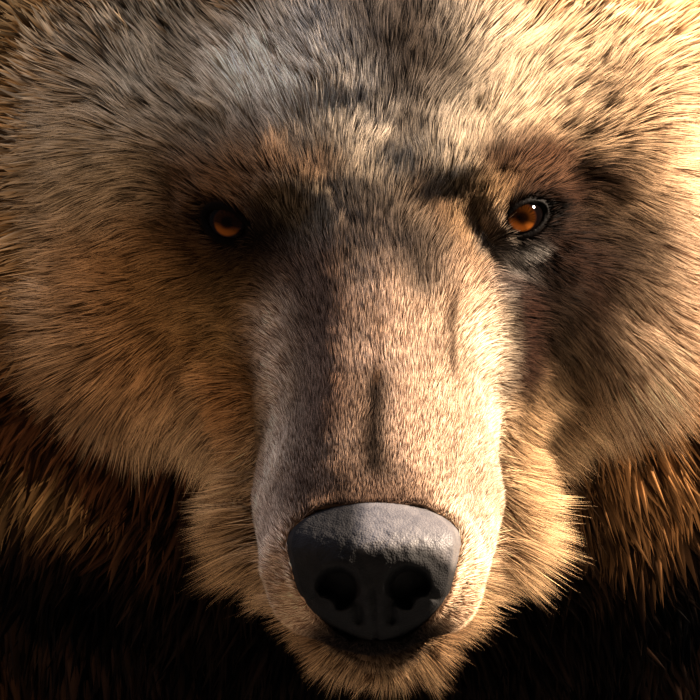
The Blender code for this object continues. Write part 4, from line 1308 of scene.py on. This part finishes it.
@dataclass(frozen=True)
class HornFinish:
    """Claw horn: dark brown, with paler wear along its grain."""

    roughness: float = 0.38

    def material(self) -> bpy.types.Material:
        """Make the claws' material."""
        material, tree = new_material("claw_horn")
        place = add(tree, "TexCoord")
        turned = add(tree, "Mapping", inputs={"Vector": place.outputs["Object"], "Scale": (1, 0.2, 0.35)})
        grain = add(tree, "TexNoise", inputs={"Vector": turned.outputs[0], "Scale": 700.0, "Detail": 4.0})
        colour = add(tree, "MixRGB", inputs={"Fac": grain.outputs["Fac"], "Color1": (*linear("120c08"), 1),
                                             "Color2": (*linear("3b2b1d"), 1)})
        bump = add(tree, "Bump", inputs={"Height": grain.outputs["Fac"], "Strength": 0.3, "Distance": 0.0005})
        principled(tree, {
            "Base Color": colour.outputs[0], "Roughness": self.roughness, "Normal": bump.outputs[0]})
        return material


@dataclass
class Eye:
    """One eyeball with its cornea's bulge, iris and pupil."""

    place: EyePlace
    iris: float = 6.1
    pupil: float = 2.3
    bulge: float = 0.9
    rows: int = 90
    columns: int = 72

    # Where the iris is lit through the cornea: below, and a little to the bear's right.
    LIT = unit(np.array((-0.25, -0.54, -0.84)))

    def build(self, material: bpy.types.Material) -> None:
        """Turn a profile about the gaze: radius r + bulge exp(-(t / 0.45)^2) at angle t from it."""
        eye = self.place
        tilt = np.linspace(0.004, math.pi - 0.004, self.rows) ** 1.25 / math.pi ** 0.25
        turn = np.linspace(0, 2 * math.pi, self.columns, endpoint=False)
        t, s = np.meshgrid(tilt, turn, indexing="ij")
        radius = eye.ball + self.bulge * np.exp(-(t / 0.45) ** 2)
        across = unit(np.cross(eye.gaze, (1.0, 0.0, 0.0)))
        along = np.cross(across, eye.gaze)
        local = eye.centre + radius[..., None] * (
            np.cos(t)[..., None] * eye.gaze + (np.sin(t) * np.cos(s))[..., None] * along
            - (np.sin(t) * np.sin(s))[..., None] * across)
        points = eye.head.world(local.reshape(-1, 3))
        first = np.arange(self.columns)
        last = first + (self.rows - 1) * self.columns
        caps = [np.stack((np.full(self.columns - 2, first[0]), first[2:], first[1:-1]), 1),
                np.stack((np.full(self.columns - 2, last[0]), last[1:-1], last[2:]), 1)]
        triangles = np.concatenate((grid_triangles(self.rows, self.columns, wrap=True), *caps))
        piece = triangle_object(f"eyeball_{eye.side.name.lower()}", points, triangles)
        face_outward(piece)
        shade_smooth(piece)
        set_colours(piece, "tint", self.colours(local.reshape(-1, 3), t.ravel(), s.ravel()))
        finish_piece(piece, material, (eye.solid,))

    def colours(self, local: np.ndarray, t: np.ndarray, s: np.ndarray) -> np.ndarray:
        """Colour the ball: a soft pupil, an amber iris with painted light on its lower side and painted shade
        on the right eye, a rusty edge and a dark rim.

        Args:
            local: the ball's points in the head's millimetres.
            t: their angles from the gaze.
            s: their angles round it.

        Returns:
            One linear colour for each point.
        """
        eye = self.place
        out = np.where(t > math.pi / 2, np.inf, np.sin(t) * eye.ball)
        spokes = 0.5 + 0.5 * np.sin(s * 23 + 2 * np.sin(s * 5)) * smoothstep(2.4, 4.5, out)
        offset = local - eye.centre
        beside = offset - np.outer(offset @ eye.gaze, eye.gaze)
        # Painted light: the iris is bright only on the side where light through the cornea falls, and the
        # right eye's iris is dimmed to 0.4 as painted shade.
        low = smoothstep(0.2, 4.2, beside @ self.LIT)
        painted_shade_dimming = 1.0 if eye.side is Side.LEFT else 0.4
        colour = np.array(linear("a85d20")) * (painted_shade_dimming * (0.02 + 0.05 * spokes + 0.75 * low))[:, None]
        edge = smoothstep(4.8, 6.1, out)[:, None]
        colour = colour * (1 - edge) + np.array(linear("1c0c06")) * edge
        black = (1 - smoothstep(self.pupil - 0.9, self.pupil + 1.2, out))[:, None]
        colour = colour * (1 - 0.8 * black)
        rim = smoothstep(self.iris - 0.5, self.iris + 0.3, out)[:, None]
        return colour * (1 - rim) + np.array(linear("050303")) * rim


@dataclass
class Nose:
    """The nose leather with its nostrils, as heights over a plane that faces it squarely.

    Millimetres: q runs up that plane, x across it to the bear's left, and the height out of it.
    """

    head: HeadFrame
    steps: int = 170
    fall: float = 15.0
    tuck: float = 1.5
    thickness: float = 6.0

    CENTRE = np.array((0.0, -156.0, -72.0))
    UP = np.array((0.0, 0.544, 0.838))
    OUT = np.array((0.0, -0.838, 0.544))

    # Up the middle of the pad, from the lip over the front to the bridge: places, heights, half widths.
    STATIONS = (-31, -28, -24, -18, -10, 0, 7, 11, 16, 21, 25, 29)
    HEIGHTS = (-17, -11, -3, 7.5, 18, 25.6, 28.8, 28.2, 25, 19, 13.5, 8)
    HALF_WIDTHS = (7, 12.5, 18.5, 25, 31, 34, 35.5, 36.2, 35, 30, 23, 13)

    # Of the left nostril: the hole's middle and half sizes, the lobe that hangs into it, the slit
    # beside it and the comma under it.
    HOLE, HOLE_SIZE = (14.3, -6.6), (9.0, 8.8)
    LOBE, LOBE_RADIUS = (20.5, -14.5), 5.0
    SLIT = ((22, -8, 0), (26, -12, 0), (29, -11, 0))
    COMMA = ((9, -9, 0), (6.4, -14, 0), (6.6, -20, 0))

    @classmethod
    def flat(cls, local: np.ndarray) -> tuple[np.ndarray, np.ndarray]:
        """Give each point's place up the plane and its height out of it."""
        offset = local - cls.CENTRE
        return offset @ cls.UP, offset @ cls.OUT

    @classmethod
    def cover(cls, local: np.ndarray) -> np.ndarray:
        """Say how far the pad covers the skin: 1 well inside its outline, 0 outside."""
        q, height = cls.flat(local)
        half = smooth_curve(cls.STATIONS, cls.HALF_WIDTHS, q)
        across = 1 - smoothstep(0.86, 0.98, np.abs(local[:, 0]) / half)
        return across * smoothstep(-30, -26, q) * (1 - smoothstep(23, 28, q)) * (height > -25)

    def pits(self, x: np.ndarray, q: np.ndarray) -> np.ndarray:
        """Give the depth of the nostrils, their slits and the groove between them."""
        spot = np.stack((np.abs(x), q, q * 0), 1)
        hole = np.hypot(*((spot[:, :2] - self.HOLE) / self.HOLE_SIZE).T)
        lobe = np.hypot(*(spot[:, :2] - self.LOBE).T) - self.LOBE_RADIUS
        deep = 16 * smoothstep(0.10, -0.30, hole - 1) * smoothstep(-1.5, 3.5, lobe)
        slit = 3 * bell(path_distance(spot, self.SLIT), 1.5)
        comma = 7 * bell(path_distance(spot, self.COMMA), 2.3)
        groove = 2.2 * bell(x, 1.2) * smoothstep(-4, -11, q)
        # The rim of the hole stands a little proud.
        rim = 1.3 * bell(hole, 2.6 / self.HOLE_SIZE[0], 1.25)
        return np.maximum(deep, np.maximum(slit, comma)) + groove - rim * (1 - deep / 16)

    def build(self, skin: BVHTree, material: bpy.types.Material) -> None:
        """Lay a grid over the pad and tuck its border under the skin.

        At share a of the half width the surface lies fall * |a|^2.2 below its middle. Nostrils
        are sunk in it and small cobbles roughen it. The border is lowered squarely to the plane
        until it lies in the skin by the tuck.

        Args:
            skin: a search tree of the skin, in metres.
            material: the nose leather.
        """
        side = np.linspace(-1, 1, self.steps)
        v, a = (part.ravel() for part in np.meshgrid(side, side, indexing="ij"))
        low, high = self.STATIONS[0], self.STATIONS[-1]
        q = low + (high - low) * (v + 1) / 2
        x = a * smooth_curve(self.STATIONS, self.HALF_WIDTHS, q)
        height = smooth_curve(self.STATIONS, self.HEIGHTS, q) - self.fall * np.abs(a) ** 2.2
        height -= self.pits(x, q)
        local = self.CENTRE + np.outer(x, (1.0, 0, 0)) + np.outer(q, self.UP) + np.outer(height, self.OUT)
        local += np.outer(0.05 * Ripple(5, 2.2, 40).at(local) + 0.16 * Ripple(6, 7.0, 20).at(local), self.OUT)
        points = self.head.world(local)
        border = smoothstep(0.90, 1.0, np.maximum(np.abs(a), np.abs(v)))
        out = self.head.turn(self.OUT)
        for i in np.flatnonzero(border > 0):
            place, _, _, _ = skin.ray_cast(points[i] + out * 50 * MM, -out)
            if place is not None:
                points[i] += (np.array(place) - out * self.tuck * MM - points[i]) * border[i]
        back = self.ring()
        inward = -out * self.thickness * MM
        points = np.concatenate((points, points[back] + inward, [points.mean(axis=0) + inward * 3]))
        start, count = len(local), len(back)
        here, there = np.arange(count), (np.arange(count) + 1) % count
        skirt = np.concatenate((np.stack((back[here], start + here, start + there), 1),
                                np.stack((back[here], start + there, back[there]), 1),
                                np.stack((np.full(count, start + count), start + there, start + here), 1)))
        triangles = np.concatenate((grid_triangles(self.steps, self.steps), skirt))
        piece = triangle_object("nose_leather", points, triangles)
        face_outward(piece)
        shade_smooth(piece)
        dust_and_painted_sheen = np.zeros(len(points))
        # The pale top is partly dust and partly painted sheen where the key light glints; the factor in x
        # keeps it off the bear's right half as painted shade.
        dust_and_painted_sheen[:len(q)] = (smoothstep(7.0, 13.5, q + 9.0 * smoothstep(0.55, 1.0, np.abs(a)))
                         * (0.03 + 0.97 * smoothstep(-10, 2, x)))
        set_values(piece, "dust_and_painted_sheen", dust_and_painted_sheen)
        finish_piece(piece, material, ("nose",))

    def ring(self) -> np.ndarray:
        """List the grid's border points in order round it."""
        n = self.steps
        return np.concatenate((np.arange(n - 1), np.arange(n - 1) * n + n - 1,
                               np.arange(n * n - 1, n * n - n, -1), np.arange(n - 1, 0, -1) * n))


@dataclass
class Studio:
    """Floor, lights and camera, in metres.

    At the eyes the view is width_at_eyes wide, and their middle lies across and above its own.
    """

    head: HeadFrame
    distance: float = 3.0
    azimuth: float = math.radians(0.9)
    elevation: float = math.radians(8)
    roll: float = math.radians(0.65)
    width_at_eyes: float = 0.294
    across: float = 0.01071
    above: float = 0.05544

    # Name, place from the head, size, power, colour, and whether it glints on the wet parts.
    LIGHTS = (("key", (7.7, 0.1, 4.6), 1.0, 5600, "ffe9cf", True),
              ("sky", (-0.9, 0.5, 3.1), 2.4, 140, "d2e2ff", False),
              ("fill", (-3.0, -1.1, 0.1), 1.6, 42, "ffe0c0", False))

    def camera(self) -> None:
        """Aim a long lens at the face."""
        direction = Vector((math.sin(self.azimuth) * math.cos(self.elevation),
                            -math.cos(self.azimuth) * math.cos(self.elevation), math.sin(self.elevation)))
        turn = (-direction).to_track_quat("-Z", "Y").to_matrix() @ Matrix.Rotation(self.roll, 3, "Z")
        aim = Vector(self.head.origin) - turn @ Vector((self.across, self.above, 0))
        data = bpy.data.cameras.new("camera")
        data.sensor_width = 36
        data.lens = 36 * self.distance / self.width_at_eyes
        data.clip_end = 200
        camera = bpy.data.objects.new("camera", data)
        camera.location = aim + direction * self.distance
        camera.rotation_euler = turn.to_euler()
        bpy.context.scene.collection.objects.link(camera)
        bpy.context.scene.camera = camera

    def light(self, name: str, place: Sequence[float], size: float, power: float, colour: str,
              glint: bool) -> None:
        """Hang one square soft light that faces the head."""
        data = bpy.data.lights.new(name, "AREA")
        data.size = size
        data.energy = power
        data.color = linear(colour)
        lamp = bpy.data.objects.new(name, data)
        lamp.location = Vector(self.head.origin) + Vector(place)
        lamp.rotation_euler = (-Vector(place)).to_track_quat("-Z", "Y").to_euler()
        lamp.visible_glossy = glint
        bpy.context.scene.collection.objects.link(lamp)

    def floor(self) -> None:
        """Lay a large pale floor."""
        size = 80.0
        points = size * np.array(((-1, -1, 0), (1, -1, 0), (1, 1, 0), (-1, 1, 0)))
        piece = triangle_object("floor", points, np.array(((0, 1, 2), (0, 2, 3))))
        material, tree = new_material("pale_studio_floor")
        principled(tree, {"Base Color": (*linear("76736f"), 1), "Roughness": 0.85})
        piece.data.materials.append(material)
        # The floor still lights the bear, but is not mirrored in its eyes.
        piece.visible_glossy = False

    def build(self) -> None:
        """Set up the studio."""
        self.camera()
        self.floor()
        for row in self.LIGHTS:
            self.light(*row)
        world = bpy.data.worlds.new("studio")
        world.use_nodes = True
        air = world.node_tree.nodes["Background"]
        air.inputs["Color"].default_value = (*linear("dfe6f0"), 1)
        air.inputs["Strength"].default_value = 0.05
        bpy.context.scene.world = world
        bpy.context.scene.view_settings.view_transform = "Standard"


def main() -> None:
    """Build the bear and its studio."""
    logging.basicConfig(level=logging.INFO, format="%(message)s")
    head = HeadFrame()
    chart = CoatChart(head)
    eyes = [EyePlace(head, Side.LEFT, socket=2.7), EyePlace(head, Side.RIGHT, socket=4.0)]
    hide = Hide(head, chart, eyes)
    skin, points, triangles = hide.build()
    finish_piece(skin, SkinFinish().material(), hide.FLESH)
    Coat(head, chart, eyes, hide.mouth_line).build(points, triangles, HairFinish().material())
    eye_material = EyeFinish().material()
    for place in eyes:
        Eye(place).build(eye_material)
    Nose(head).build(BVHTree.FromPolygons(points.tolist(), triangles.tolist()), NoseFinish().material())
    horn = HornFinish().material()
    for name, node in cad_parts.items():
        if "claw" in name:
            for slot in node.material_slots:
                slot.material = horn
    Studio(head).build()


if __name__ == "__main__":
    main()
